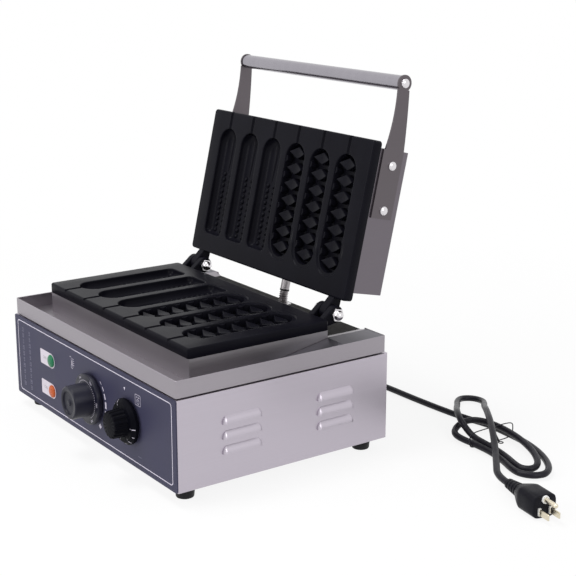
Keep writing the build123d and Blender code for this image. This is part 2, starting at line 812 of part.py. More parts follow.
# The hose leaves the lid along the lid's own slope, turns by the lean in one arc and drops straight down
hose_turn = radians(lean)
hose_cut = hose_bend_radius * tan(hose_turn / 2)
hose_arc = hose_bend_radius * hose_turn
hose_drop = hose_corner.Z - tray_floor_top + hose_lower_end
hose_length = hose_upper_run - hose_cut + hose_arc + hose_drop - hose_cut
rib_count = int(hose_length / rib_pitch)


def hose_plane(along):
    """Plane across the hose at a distance along it from the lid end: its z points down the hose."""
    first = hose_upper_run - hose_cut
    if along < first:
        return Plane(origin=hose_top - lid_up * along, x_dir=(1, 0, 0), z_dir=lid_up * -1)
    turn = min((along - first) / hose_bend_radius, hose_turn)
    left = along - first - turn * hose_bend_radius
    slope = hose_turn - turn
    centre = hose_top - lid_up * first + lid_back * hose_bend_radius
    direction = Vector(0, -sin(slope), -cos(slope))
    place = centre - Vector(0, cos(slope), -sin(slope)) * hose_bend_radius + direction * left
    return Plane(origin=place, x_dir=(1, 0, 0), z_dir=direction)


rib_shares = (0, rib_slope_share, rib_slope_share + rib_crest_share, 2 * rib_slope_share + rib_crest_share)
rib_radii = (conduit_diameter / 2 - rib_depth, conduit_diameter / 2, conduit_diameter / 2,
             conduit_diameter / 2 - rib_depth)

with BuildPart() as hose_bore:
    for step in range(rib_count + 1):
        with BuildSketch(hose_plane(step * rib_pitch)):
            Circle(conduit_bore / 2)
    loft(ruled=True)

with BuildPart() as conduit_hose:
    for rib in range(rib_count):
        for share, radius in zip(rib_shares, rib_radii):
            with BuildSketch(hose_plane((rib + share) * rib_pitch)):
                Circle(radius)
    loft(ruled=True)
    add(hose_bore.part, mode=Mode.SUBTRACT)

# Lamps: domed lenses on barrels that pass through the panel and are held by a nut behind it
lens_diameter = 13
lens_height = 3
lens_rim = 1
barrel_length = 24
lamp_nut_width = 17
lamp_nut_height = 3

lens_sag = lens_height - lens_rim
lens_crown = ((lens_diameter / 2) ** 2 + lens_sag ** 2) / (2 * lens_sag)


def lamp_lens(height):
    """Domed lens on the panel's front at a height above the case bottom."""
    with BuildPart() as lens:
        with BuildSketch(Plane(origin=(lamp_x, front, case_bottom + height))):
            with BuildLine():
                Line((0, 0), (lens_diameter / 2, 0))
                Line((lens_diameter / 2, 0), (lens_diameter / 2, -lens_rim))
                RadiusArc((lens_diameter / 2, -lens_rim), (0, -lens_height), lens_crown)
                Line((0, -lens_height), (0, 0))
            make_face()
        revolve(axis=Axis((lamp_x, front, case_bottom + height), (0, 1, 0)))
    return lens


orange_lens = lamp_lens(lamp_heights[0])
green_lens = lamp_lens(lamp_heights[1])

with BuildPart() as lamp_holders:
    for x, z in lamp_places:
        with BuildSketch(front_face(front)):
            with Locations((x, z)):
                Circle(lamp_hole / 2 - running_clearance)
        extrude(amount=-barrel_length)
        with BuildSketch(front_face(shell_front + sheet)):
            with Locations((x, z)):
                RegularPolygon(lamp_nut_width / 2, 6, major_radius=False)
        extrude(amount=-lamp_nut_height)

# Thermostat and timer: boxed units behind the panel, each with a threaded boss through it, a spindle and
# two screws that the knob's skirt covers
thermostat_size = (34, 30, 28)
timer_size = (40, 32, 40)
unit_corner = 2
spindle_diameter = 6
spindle_inside = 10
spindle_in_knob = 14
spindle_end_gap = 0.4
unit_screw_depth = 5
unit_screw_head = 5.5
unit_screw_head_height = 1.2
unit_face = shell_front + sheet
spindle_end = unit_face + spindle_inside - spindle_end_gap


def control_unit(x, size):
    """Box with a boss through the panel, a blind bore for the spindle and two screw holes."""
    width, depth, height = size
    with BuildPart() as unit:
        with BuildSketch(front_face(unit_face)):
            with Locations((x, control_z)):
                RectangleRounded(width, height, unit_corner)
        extrude(amount=-depth)
        with BuildSketch(front_face(front)):
            with Locations((x, control_z)):
                Circle(control_hole / 2 - running_clearance)
        extrude(amount=-(unit_face - front))
        with BuildSketch(front_face(front)):
            with Locations((x, control_z)):
                Circle(spindle_diameter / 2 + running_clearance)
        extrude(amount=-(unit_face - front + spindle_inside), mode=Mode.SUBTRACT)
        with BuildSketch(front_face(unit_face)):
            with Locations((x - control_screw_spread / 2, control_z), (x + control_screw_spread / 2, control_z)):
                Circle(control_screw / 2 + running_clearance)
        extrude(amount=-unit_screw_depth, mode=Mode.SUBTRACT)
    return unit


thermostat = control_unit(temperature_x, thermostat_size)
timer = control_unit(timer_x, timer_size)

with BuildPart() as control_screws:
    for x, z in screw_places:
        with BuildSketch(front_face(front)):
            with Locations((x, z)):
                Circle(unit_screw_head / 2)
        extrude(amount=unit_screw_head_height)
        with BuildSketch(front_face(front)):
            with Locations((x, z)):
                Circle(control_screw / 2)
        extrude(amount=-(unit_face - front + unit_screw_depth))


def knob_spindle(x):
    """Spindle from just short of the bottom of the unit's bore to the bottom of the knob's bore."""
    with BuildPart() as spindle:
        with BuildSketch(front_face(spindle_end)):
            with Locations((x, control_z)):
                Circle(spindle_diameter / 2)
        extrude(amount=spindle_end - front + knob_gap + spindle_in_knob)
    return spindle


temperature_spindle = knob_spindle(temperature_x)
timer_spindle = knob_spindle(timer_x)

# Temperature knob: a wide flat skirt and a smooth cap with a sunk disc in its front
temperature_skirt_diameter = 56
temperature_skirt_thickness = 5
temperature_grip_diameter = 37
skirt_edge = 1.2
grip_edge = 1.5
sunk_disc_diameter = 25
sunk_disc_depth = 1.5
centre_boss_diameter = 7
centre_boss_height = 1


def knob_plane(x):
    """Plane through a knob's axis: x out from the axis and y back into the machine."""
    return Plane(origin=(x, front, control_z))


def turned_knob(x, skirt_radius, skirt_thickness, grip_radius, skirt_bevel):
    """Skirt and grip turned about the knob's axis, with a bore for the spindle at the back."""
    skirt_front = -knob_gap - skirt_thickness
    with BuildPart() as knob:
        with BuildSketch(knob_plane(x)):
            Polygon((0, -knob_gap), (skirt_radius, -knob_gap), (skirt_radius, skirt_front + skirt_bevel),
                    (skirt_radius - skirt_bevel, skirt_front), (grip_radius, skirt_front),
                    (grip_radius, -knob_reach + grip_edge), (grip_radius - grip_edge, -knob_reach),
                    (0, -knob_reach), align=None)
        revolve(axis=Axis((x, front, control_z), (0, 1, 0)))
        with BuildSketch(front_face(front - knob_gap)):
            with Locations((x, control_z)):
                Circle(spindle_diameter / 2 + running_clearance)
        extrude(amount=spindle_in_knob, mode=Mode.SUBTRACT)
    return knob


with BuildPart() as temperature_knob:
    add(turned_knob(temperature_x, temperature_skirt_diameter / 2, temperature_skirt_thickness,
                    temperature_grip_diameter / 2, skirt_edge).part)
    with BuildSketch(front_face(front - knob_reach)):
        with Locations((temperature_x, control_z)):
            Circle(sunk_disc_diameter / 2)
            Circle(centre_boss_diameter / 2, mode=Mode.SUBTRACT)
    extrude(amount=-sunk_disc_depth, mode=Mode.SUBTRACT)

# Timer knob: a smaller bevelled skirt and a fluted grip
timer_skirt_diameter = 48.5
timer_skirt_thickness = 7
timer_skirt_bevel = 4
timer_grip_diameter = 30
flute_count = 20
flute_radius = 1.6
flute_depth = 0.9

with BuildPart() as timer_knob:
    add(turned_knob(timer_x, timer_skirt_diameter / 2, timer_skirt_thickness, timer_grip_diameter / 2,
                    timer_skirt_bevel).part)
    with BuildSketch(front_face(front - knob_reach)):
        with Locations((timer_x, control_z)):
            with PolarLocations(timer_grip_diameter / 2 + flute_radius - flute_depth, flute_count):
                Circle(flute_radius)
    extrude(amount=-(knob_reach - knob_gap - timer_skirt_thickness), mode=Mode.SUBTRACT)

# Thermostat bulb clipped under the lower block, with its capillary down to the thermostat
bulb_diameter = 6
bulb_length = 70
capillary_diameter = 1.6
capillary_bend = 5
capillary_low = 106
capillary_turn = 85

bulb_z = parting - block_back - bulb_diameter / 2
bulb_y = hinge_y - block_middle
thermostat_top = control_z + thermostat_size[2] / 2
thermostat_y = unit_face + thermostat_size[1] / 2

with BuildPart() as thermostat_bulb:
    with BuildSketch(Plane(origin=(0, bulb_y, bulb_z), x_dir=(0, 1, 0), z_dir=(1, 0, 0))):
        Circle(bulb_diameter / 2)
    extrude(amount=bulb_length)
    with BuildLine() as capillary:
        FilletPolyline((0, bulb_y, bulb_z), (capillary_x, bulb_y, bulb_z), (capillary_x, bulb_y, capillary_low),
                       (temperature_x, thermostat_y, capillary_turn), (temperature_x, thermostat_y, thermostat_top),
                       radius=capillary_bend)
    with BuildSketch(Plane(origin=capillary.line @ 0, z_dir=capillary.line % 0)):
        Circle(capillary_diameter / 2)
    sweep(path=capillary.line)

# Cord gland through the rear wall, with a tapered tail, and the terminal block inside it
gland_flange = 20
gland_flange_thickness = 3
gland_inside = 6
gland_nut = 20
gland_nut_thickness = 3
gland_tail_length = 27
gland_tail_root = 13
gland_tail_tip = 9.6
gland_groove = 1.4
gland_groove_depth = 0.7
gland_groove_count = 4
terminal_size = (60, 22, 18)
terminal_setback = 40
terminal_barrel = 5
terminal_barrel_depth = 9
terminal_count = 4
cord_diameter = 7.2

gland_z = case_bottom + gland_height
gland_tail_start = case_rear + gland_flange_thickness
gland_end = gland_tail_start + gland_tail_length
gland_taper = (gland_tail_root - gland_tail_tip) / 2 / gland_tail_length


def rear_disc(y, radius):
    """Circle across the gland at y, looking out of the machine's rear."""
    with BuildSketch(Plane(origin=(gland_x, y, gland_z), x_dir=(1, 0, 0), z_dir=(0, 1, 0))) as disc:
        Circle(radius)
    return disc.sketch


with BuildPart() as cord_gland:
    extrude(rear_disc(case_rear - sheet - gland_inside, gland_hole / 2 - running_clearance),
            amount=sheet + gland_inside)
    extrude(rear_disc(case_rear - sheet, gland_nut / 2), amount=-gland_nut_thickness)
    extrude(rear_disc(case_rear, gland_flange / 2), amount=gland_flange_thickness)
    loft([rear_disc(gland_tail_start, gland_tail_root / 2), rear_disc(gland_end, gland_tail_tip / 2)])
    for groove in range(gland_groove_count):
        along = (groove + 1) * gland_tail_length / (gland_groove_count + 1)
        radius = gland_tail_root / 2 - gland_taper * along
        with BuildSketch(Plane(origin=(gland_x, gland_tail_start + along, gland_z), x_dir=(1, 0, 0),
                               z_dir=(0, 1, 0))):
            Circle(radius + gland_groove)
            Circle(radius - gland_groove_depth, mode=Mode.SUBTRACT)
        extrude(amount=gland_groove, mode=Mode.SUBTRACT)

with BuildPart() as terminal_block:
    with BuildSketch(Plane.XY.offset(case_bottom + 2 * sheet)):
        with Locations((gland_x, case_rear - terminal_setback)):
            Rectangle(terminal_size[0], terminal_size[1])
    extrude(amount=terminal_size[2])
    with BuildSketch(Plane.XY.offset(case_bottom + 2 * sheet + terminal_size[2])):
        with Locations((gland_x, case_rear - terminal_setback)):
            with GridLocations(terminal_size[0] / terminal_count, terminal_size[1] / 2, terminal_count, 2):
                Circle(terminal_barrel / 2)
    extrude(amount=-terminal_barrel_depth, mode=Mode.SUBTRACT)

# Cord hank: two bow-shaped turns on a curved axis, drawn in at the waist and lying over each other
hank_x = 267
hank_setback = 365
hank_heading = -9
hank_bend = -0.41
hank_length = 83.5
hank_length_loss = 16
hank_width = 44.5
hank_width_loss = 15.5
hank_waist_share = 0.62
hank_front_share = -0.22
hank_drift = -1.3
hank_squareness_share = 0.06
hank_lift = 10.5
hank_lift_angle = 135
hank_base = 4.9
hank_first_angle = 112
hank_last_angle = -468
hank_steps = 29


def hank_point(angle):
    """Place on the hank's centre line, where the angle falls by 360 degrees in each turn."""
    t = radians(angle)
    turns = (hank_first_angle - angle) / 360
    square = (cos(t) - hank_squareness_share * cos(3 * t)) / (1 - hank_squareness_share)
    along = (hank_length - hank_length_loss * turns) * square
    waist = hank_waist_share + (1 - hank_waist_share) * cos(t) ** 2
    across = (hank_width - hank_width_loss * turns) * sin(t) * waist * (1 + hank_front_share * cos(t))
    across += hank_drift * turns
    lift = hank_lift * turns * ((1 + cos(t - radians(hank_lift_angle))) / 2) ** 2
    heading = radians(hank_heading + hank_bend * along)
    arc_radius = 1 / radians(hank_bend)
    arc_x = hank_x + arc_radius * (sin(heading) - sin(radians(hank_heading)))
    arc_y = hank_setback - arc_radius * (cos(heading) - cos(radians(hank_heading)))
    return Vector(arc_x - sin(heading) * across, front + arc_y + cos(heading) * across, hank_base + lift)


# The free cord's routes, with y counted back from the machine's front: from the gland to the hank, and from
# the hank round one loose loop to the plug
gland_lead = 17
joint_lead = 20
lead_route = [(-58, 330, 28), (-52, 350, 14), (-36, 367, 5), (-8, 379, 3.8), (34, 386, 3.7), (82, 386, 3.8),
              (130, 388, 3.7), (170, 391, 3.9)]
tail_route = [(208, 352, 18.8), (190, 362, 22.8), (166, 383, 16), (146, 403, 9.5), (130, 417, 6.5), (122, 431, 5),
              (130, 443, 5), (146, 444, 6), (160, 433, 9), (181, 412, 17), (212, 386, 27), (248, 359, 27),
              (280, 334, 18), (308, 309, 14)]
plug_x = 349
plug_setback = 286
plug_height = 12.3
plug_heading = -10
fillet_share = 0.45

hank_route = [hank_point(hank_first_angle + (hank_last_angle - hank_first_angle) * step / hank_steps)
              for step in range(hank_steps + 1)]
plug_cord_end = Vector(plug_x, front + plug_setback, plug_height)
plug_out = Vector(cos(radians(plug_heading)), sin(radians(plug_heading)), 0)


def set_back(route):
    """Route points moved from the machine's front to the part's origin."""
    return [Vector(x, front + y, z) for x, y, z in route]


def corner_radii(points):
    """Radius for each inner point, as large as its two runs allow."""
    radii = []
    for before, here, after in zip(points, points[1:], points[2:]):
        run = min((here - before).length, (after - here).length)
        turn = radians((here - before).get_angle(after - here))
        radii.append(fillet_share * run / tan(turn / 2))
    return radii


def cord_tube(points, diameter):
    """Round tube along straight runs joined by tangent arcs."""
    with BuildPart() as tube:
        with BuildLine() as path:
            FilletPolyline(*points, radius=corner_radii(points))
        centre_line = path.wire()
        with BuildSketch(Plane(origin=centre_line @ 0, z_dir=centre_line % 0)):
            Circle(diameter / 2)
        sweep(path=centre_line)
    share = tube.part.volume / (pi * diameter ** 2 / 4 * centre_line.length)
    print("tube length", round(centre_line.length, 1), "volume share", round(share, 4),
          "least radius", round(min(corner_radii(points)), 1))
    return tube, centre_line


gland_mouth = Vector(gland_x, gland_end, gland_z)
hank_in = (hank_route[1] - hank_route[0]).normalized()
hank_out = (hank_route[-1] - hank_route[-2]).normalized()
lead_points = [gland_mouth, gland_mouth + Vector(0, gland_lead, 0), *set_back(lead_route),
               hank_route[0] - hank_in * joint_lead, hank_route[0]]
tail_points = [hank_route[-1], hank_route[-1] + hank_out * joint_lead, *set_back(tail_route),
               plug_cord_end - plug_out * joint_lead, plug_cord_end]
power_cord, lead_line = cord_tube(lead_points, cord_diameter)
cord_hank, hank_line = cord_tube(hank_route, cord_diameter)
cord_tail, tail_line = cord_tube(tail_points, cord_diameter)

measure_step = 3
neighbour_reach = 29
joint_reach = 22
measure_count = int(hank_line.length / measure_step)
hank_samples = [hank_line @ (step / measure_count) for step in range(measure_count + 1)]
neighbour_steps = int(neighbour_reach / measure_step)
hank_gap = min((hank_samples[i] - hank_samples[j]).length - cord_diameter
               for i in range(measure_count + 1) for j in range(i + neighbour_steps, measure_count + 1))
print("least gap between the hank's turns", round(hank_gap, 2))
for name, line in (("lead", lead_line), ("tail", tail_line)):
    samples = [line @ (step / measure_count) for step in range(measure_count + 1)]
    ends = [hank_line @ 0, hank_line @ 1]
    clear = [point for point in samples if min((point - end).length for end in ends) > joint_reach]
    print("least gap between hank and", name, round(min((point - other).length - cord_diameter
          for point in clear for other in hank_samples), 2))

# Wire tie round the hank's waist, with its twisted ends closed in an eye
tie_diameter = 1.2
tie_x = 239
tie_setback = 368.7
tie_width = 65
tie_height = 18.2
tie_bend = 7
tie_stem_diameter = 1.8
tie_eye_radius = 2.6
tie_stem_reach = (16, -4, -11)

tie_low = tie_diameter / 2
tie_stem = Vector(*tie_stem_reach)
tie_stem_start = Vector(tie_x, front + tie_setback, tie_low + tie_height)

with BuildPart() as cord_tie:
    with BuildLine(Plane(origin=(tie_x, front + tie_setback, tie_low + tie_height / 2), x_dir=(0, 1, 0),
                         z_dir=(1, 0, 0))) as tie_path:
        FilletPolyline((-tie_width / 2, -tie_height / 2), (tie_width / 2, -tie_height / 2),
                       (tie_width / 2, tie_height / 2), (-tie_width / 2, tie_height / 2), radius=tie_bend,
                       close=True)
    with BuildSketch(Plane(origin=tie_path.line @ 0, z_dir=tie_path.line % 0)):
        Circle(tie_diameter / 2)
    sweep(path=tie_path.line)
    with BuildSketch(Plane(origin=tie_stem_start, z_dir=tie_stem)):
        Circle(tie_stem_diameter / 2)
    extrude(amount=tie_stem.length)
    with Locations(tie_stem_start + tie_stem + Vector(tie_eye_radius, 0, 0)):
        Torus(tie_eye_radius, tie_diameter / 2)

# Moulded plug: a ribbed relief that swells into a body with a flat front, three pins and their collars
relief_length = 20
relief_rear = 10.4
relief_front = 15
relief_groove_count = 3
relief_groove = 1.6
relief_groove_depth = 0.8
plug_neck = 15.5
plug_neck_corner = 7.3
plug_swell = 24
plug_straight = 17
plug_width = 27
plug_body_height = 24
plug_corner = 9
blade_height = 6.4
blade_thickness = 1.5
blade_spread = 12.7
blade_drop = 4.6
blade_length = 16
earth_pin_diameter = 4.8
earth_pin_rise = 7.3
earth_pin_length = 19
collar_length = 1.6
collar_margin = 1.7
pin_root = 5

plug_front = relief_length + plug_swell + plug_straight


def plug_plane(along):
    """Plane across the plug at a distance from its cord end: x across the plug, y up."""
    return Plane(origin=plug_cord_end + plug_out * along, x_dir=plug_out.cross(Vector(0, 0, 1)) * -1,
                 z_dir=plug_out)


with BuildPart() as plug_body:
    with BuildSketch(plug_plane(0)):
        Circle(relief_rear / 2)
    with BuildSketch(plug_plane(relief_length)):
        Circle(relief_front / 2)
    loft()
    with BuildSketch(plug_plane(relief_length)):
        RectangleRounded(plug_neck, plug_neck, plug_neck_corner)
    with BuildSketch(plug_plane(relief_length + plug_swell)):
        RectangleRounded(plug_width, plug_body_height, plug_corner)
    loft()
    with BuildSketch(plug_plane(relief_length + plug_swell)):
        RectangleRounded(plug_width, plug_body_height, plug_corner)
    extrude(amount=plug_straight)
    for groove in range(relief_groove_count):
        along = (groove + 1) * relief_length / (relief_groove_count + 1)
        radius = (relief_rear + (relief_front - relief_rear) * along / relief_length) / 2
        with BuildSketch(plug_plane(along)):
            Circle(radius + relief_groove)
            Circle(radius - relief_groove_depth, mode=Mode.SUBTRACT)
        extrude(amount=relief_groove, mode=Mode.SUBTRACT)
    with BuildSketch(plug_plane(plug_front)):
        with Locations((-blade_spread / 2, -blade_drop), (blade_spread / 2, -blade_drop)):
            Rectangle(blade_thickness, blade_height)
        with Locations((0, earth_pin_rise)):
            Circle(earth_pin_diameter / 2)
    extrude(amount=-pin_root, mode=Mode.SUBTRACT)

with BuildPart() as plug_pins:
    with BuildSketch(plug_plane(plug_front - pin_root)):
        with Locations((-blade_spread / 2, -blade_drop), (blade_spread / 2, -blade_drop)):
            Rectangle(blade_thickness, blade_height)
    extrude(amount=pin_root + blade_length)
    with BuildSketch(plug_plane(plug_front - pin_root)):
        with Locations((0, earth_pin_rise)):
            Circle(earth_pin_diameter / 2)
    extrude(amount=pin_root + earth_pin_length)

with BuildPart() as pin_collars:
    with BuildSketch(plug_plane(plug_front)):
        with Locations((-blade_spread / 2, -blade_drop), (blade_spread / 2, -blade_drop)):
            Rectangle(blade_thickness + collar_margin, blade_height + collar_margin)
            Rectangle(blade_thickness, blade_height, mode=Mode.SUBTRACT)
        with Locations((0, earth_pin_rise)):
            Circle(earth_pin_diameter / 2 + collar_margin)
            Circle(earth_pin_diameter / 2, mode=Mode.SUBTRACT)
    extrude(amount=collar_length)

pieces = {
    "case_wrap": case_wrap, "bottom_plate": bottom_plate, "rubber_feet": rubber_feet,
    "foot_screws": foot_screws, "control_panel": control_panel, "control_screws": control_screws,
    "top_tray": top_tray, "mould_collar": mould_collar, "rear_deck": rear_deck,
    "lower_mould_plate": lower_mould_plate, "upper_mould_plate": upper_mould_plate,
    "hinge_bolts": hinge_bolts, "hinge_nuts": hinge_nuts,
    "lower_heating_element": lower_heating_element, "upper_heating_element": upper_heating_element,
    "lower_element_clamps": lower_element_clamps, "upper_element_clamps": upper_element_clamps,
    "lower_clamp_screws": lower_clamp_screws, "upper_clamp_screws": upper_clamp_screws,
    "lower_heat_shield": lower_heat_shield, "upper_heat_shield": upper_heat_shield,
    "lid_housing": lid_housing, "handle_arm_left": handle_arm_left, "handle_arm_right": handle_arm_right,
    "handle_bar": handle_bar, "arm_bolts": arm_bolts, "arm_nuts": arm_nuts,
    "handle_end_bolts": handle_end_bolts, "conduit_lid_fitting": conduit_lid_fitting,
    "conduit_ring": conduit_ring, "conduit_base_fitting": conduit_base_fitting,
    "conduit_hose": conduit_hose, "green_lens": green_lens, "orange_lens": orange_lens,
    "lamp_holders": lamp_holders, "thermostat": thermostat, "thermostat_bulb": thermostat_bulb,
    "timer": timer, "temperature_knob": temperature_knob, "temperature_spindle": temperature_spindle,
    "timer_knob": timer_knob, "timer_spindle": timer_spindle, "cord_gland": cord_gland,
    "terminal_block": terminal_block, "power_cord": power_cord, "cord_hank": cord_hank,
    "cord_tail": cord_tail, "cord_tie": cord_tie, "plug_body": plug_body, "plug_pins": plug_pins,
    "pin_collars": pin_collars,
}
os.makedirs("parts", exist_ok=True)
for name, piece in pieces.items():
    piece.part.label = name
    export_step(piece.part, f"parts/{name}.step")
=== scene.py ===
import math

import bmesh
import bpy
import numpy as np
from mathutils import Euler, Matrix, Vector


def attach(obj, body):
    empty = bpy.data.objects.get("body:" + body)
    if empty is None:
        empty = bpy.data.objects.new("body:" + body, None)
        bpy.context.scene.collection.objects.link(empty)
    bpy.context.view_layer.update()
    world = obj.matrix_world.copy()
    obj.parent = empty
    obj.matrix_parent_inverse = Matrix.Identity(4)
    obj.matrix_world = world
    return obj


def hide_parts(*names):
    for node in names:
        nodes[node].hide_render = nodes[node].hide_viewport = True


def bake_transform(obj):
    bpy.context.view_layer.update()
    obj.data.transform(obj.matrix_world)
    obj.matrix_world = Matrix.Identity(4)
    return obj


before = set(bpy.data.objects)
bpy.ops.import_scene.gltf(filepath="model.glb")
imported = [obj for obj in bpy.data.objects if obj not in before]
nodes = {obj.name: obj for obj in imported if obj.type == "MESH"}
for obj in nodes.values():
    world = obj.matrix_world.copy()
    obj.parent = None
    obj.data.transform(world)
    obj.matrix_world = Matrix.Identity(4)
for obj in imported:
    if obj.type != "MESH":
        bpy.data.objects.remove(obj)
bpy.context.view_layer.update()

# Camera: it stands to the machine's front right, a little above the hinge, where the photographer stood.
# Its small shift only puts the machine where the photograph has it in the frame.
camera_place = (1.2152, -0.7415, 0.5424)
camera_yaw, camera_dip, camera_roll = 54.326, 14.688, 0.15
camera_lens = 82.12
camera_shift = (-0.0144, -0.016)

camera = bpy.data.objects.new("camera", bpy.data.cameras.new("camera"))
camera.data.lens = camera_lens
camera.data.shift_x, camera.data.shift_y = camera_shift
aim = Euler((math.radians(90 - camera_dip), 0, math.radians(camera_yaw))).to_matrix()
turn = aim @ Matrix.Rotation(math.radians(camera_roll), 3, "Z")
camera.matrix_world = Matrix.Translation(camera_place) @ turn.to_4x4()
bpy.context.scene.collection.objects.link(camera)
bpy.context.scene.camera = camera
bpy.context.scene.view_settings.view_transform = "Standard"


# Mains cord: black rubber-sheathed flex, 7.2 mm thick, from the gland in the rear wall to a bow-shaped hank
# held by a wire tie, and from there round one loose loop to the plug. It lies on the table.
class Value:
    """A socket of a material's nodes. Python's operators on it add Math nodes."""

    def __init__(self, finish, socket):
        self.finish, self.socket = finish, socket

    def __add__(self, other):
        return self.finish.maths("ADD", self, other)

    def __radd__(self, other):
        return self.finish.maths("ADD", other, self)

    def __sub__(self, other):
        return self.finish.maths("SUBTRACT", self, other)

    def __rsub__(self, other):
        return self.finish.maths("SUBTRACT", other, self)

    def __mul__(self, other):
        return self.finish.maths("MULTIPLY", self, other)

    def __rmul__(self, other):
        return self.finish.maths("MULTIPLY", other, self)

    def __gt__(self, other):
        return self.finish.maths("GREATER_THAN", self, other)


class Finish:
    """A material with one Principled shader. Its constant sockets are given by name when it is made."""

    def __init__(self, name, **sockets):
        self.material = bpy.data.materials.new(name)
        self.material.use_nodes = True
        self.tree = self.material.node_tree
        self.shader = self.tree.nodes["Principled BSDF"]
        for socket, value in sockets.items():
            self.feed(self.shader.inputs[socket.replace("_", " ")], value)
        self.place = self.node("ShaderNodeTexCoord", {}, {}, "Object")

    def feed(self, socket, value):
        """Links a Value to a socket, or sets a plain number or colour on it."""
        if isinstance(value, Value):
            self.tree.links.new(value.socket, socket)
        elif hasattr(value, "__len__") and socket.type == "RGBA":
            socket.default_value = (*value[:3], 1)
        else:
            socket.default_value = value

    def node(self, kind, settings, sockets, output=0):
        """Adds a node: its settings first, then its sockets' values or links. Gives one output."""
        made = self.tree.nodes.new(kind)
        for name, value in settings.items():
            setattr(made, name, value)
        for name, value in sockets.items():
            self.feed(made.inputs[name], value)
        return Value(self, made.outputs[output])

    def maths(self, operation, *values):
        """Math node on values or plain numbers."""
        return self.node("ShaderNodeMath", {"operation": operation}, dict(enumerate(values)))

    def noise(self, scale, detail=3, stretch=(1, 1, 1)):
        """Noise from 0 to 1, with scale in cells for each metre, times the stretch of each axis."""
        where = self.node("ShaderNodeMapping", {}, {"Vector": self.place, "Scale": stretch})
        return self.node("ShaderNodeTexNoise", {}, {"Vector": where, "Scale": scale, "Detail": detail})

    def spread(self, value, low, high):
        """Value from 0.3 to 0.7, the usual reach of noise, spread from low to high."""
        ranged = {"Value": value, "From Min": 0.3, "From Max": 0.7, "To Min": low, "To Max": high}
        return self.node("ShaderNodeMapRange", {"clamp": True}, ranged)

    def colour(self, value, first, second):
        """Sets the base colour, which goes from one to another as noise rises from low to high."""
        share = self.spread(value, 0, 1)
        mixed = self.node("ShaderNodeMix", {"data_type": "RGBA"}, {0: share, 6: first, 7: second}, 2)
        self.feed(self.shader.inputs["Base Color"], mixed)

    def roughness(self, value, low, high):
        """Sets the roughness, which goes from low to high as noise rises."""
        self.feed(self.shader.inputs["Roughness"], self.spread(value, low, high))

    def relief(self, height, distance):
        """Bump from a height of 0 to 1 that stands for a distance in metres."""
        bump = self.node("ShaderNodeBump", {}, {"Height": height, "Distance": distance})
        self.feed(self.shader.inputs["Normal"], bump)


def rubber(name, shade, low, high, gleam=0.2):
    """Matt rubber or plastic whose sheen varies in patches, with fine mould grain."""
    made = Finish(name, Specular_IOR_Level=gleam)
    patches = made.noise(60, 4)
    made.colour(patches, shade, [tone * 1.4 + 0.001 for tone in shade])
    made.roughness(made.noise(90, 3), low, high)
    made.relief(made.noise(2600, 2), 0.00008)
    return made


machine_front = -0.14408
cord_thickness, cord_length = 0.0072, 1.35
cord_black = rubber("cord rubber", (0.006, 0.0055, 0.0095), 0.3, 0.44)


def line_object(name, points, thickness, closed=False):
    """Round tube on a smooth NURBS line that has these points as its control points."""
    curve = bpy.data.curves.new(name, "CURVE")
    curve.dimensions = "3D"
    spline = curve.splines.new("NURBS")
    spline.points.add(len(points) - 1)
    spline.points.foreach_set("co", np.column_stack([points, np.ones(len(points))]).ravel())
    spline.order_u = 3
    spline.use_cyclic_u = closed
    spline.use_endpoint_u = not closed
    spline.resolution_u = 10
    curve.bevel_depth = thickness / 2
    curve.bevel_resolution = 5
    curve.use_fill_caps = not closed
    made = bpy.data.objects.new(name, curve)
    bpy.context.scene.collection.objects.link(made)
    return made


def settle(made, finish, body, slot, *replaced):
    """Gives a piece its material and its body if it has one, and hides the CAD nodes it stands for. The
    record slot is not used.
    """
    made.data.materials.clear()
    made.data.materials.append(finish.material)
    if body:
        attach(made, body)
    if replaced:
        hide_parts(*replaced)
    return made


hank_first, hank_last, hank_steps = 112, -468, 29
hank_x, hank_y, hank_z = 267, 365, 4.9
hank_half_length, length_loss = 83.5, 16
hank_half_width, width_loss = 44.5, 15.5
hank_drift, hank_climb, climb_angle = 1.3, 10.5, math.radians(135)
hank_start, hank_curl = math.radians(-9), math.radians(-0.41)
hank_square, hank_pinch, hank_skew = 0.06, 0.38, 0.22


def hank_line():
    """Bow-shaped turns on a curved axis: a squared cosine along it and a sine across it that is drawn in at
    the waist, both shrinking with each turn, with a lift where one turn climbs over another."""
    angle = np.linspace(hank_first, hank_last, hank_steps + 1)
    t = np.radians(angle)
    turns = (hank_first - angle) / 360
    waist = 1 - hank_pinch * np.sin(t) ** 2
    square = (np.cos(t) - hank_square * np.cos(3 * t)) / (1 - hank_square)
    along = (hank_half_length - length_loss * turns) * square
    across = (hank_half_width - width_loss * turns) * np.sin(t) * waist * (1 - hank_skew * np.cos(t))
    across = across - hank_drift * turns
    lift = hank_climb * turns * ((1 + np.cos(t - climb_angle)) / 2) ** 2
    heading = hank_start + hank_curl * along
    x = hank_x + (np.sin(heading) - math.sin(hank_start)) / hank_curl - np.sin(heading) * across
    y = hank_y - (np.cos(heading) - math.cos(hank_start)) / hank_curl + np.cos(heading) * across
    return np.column_stack([x, y, hank_z + lift])


def unit(vector):
    """Vector divided by its length."""
    return vector / np.linalg.norm(vector)


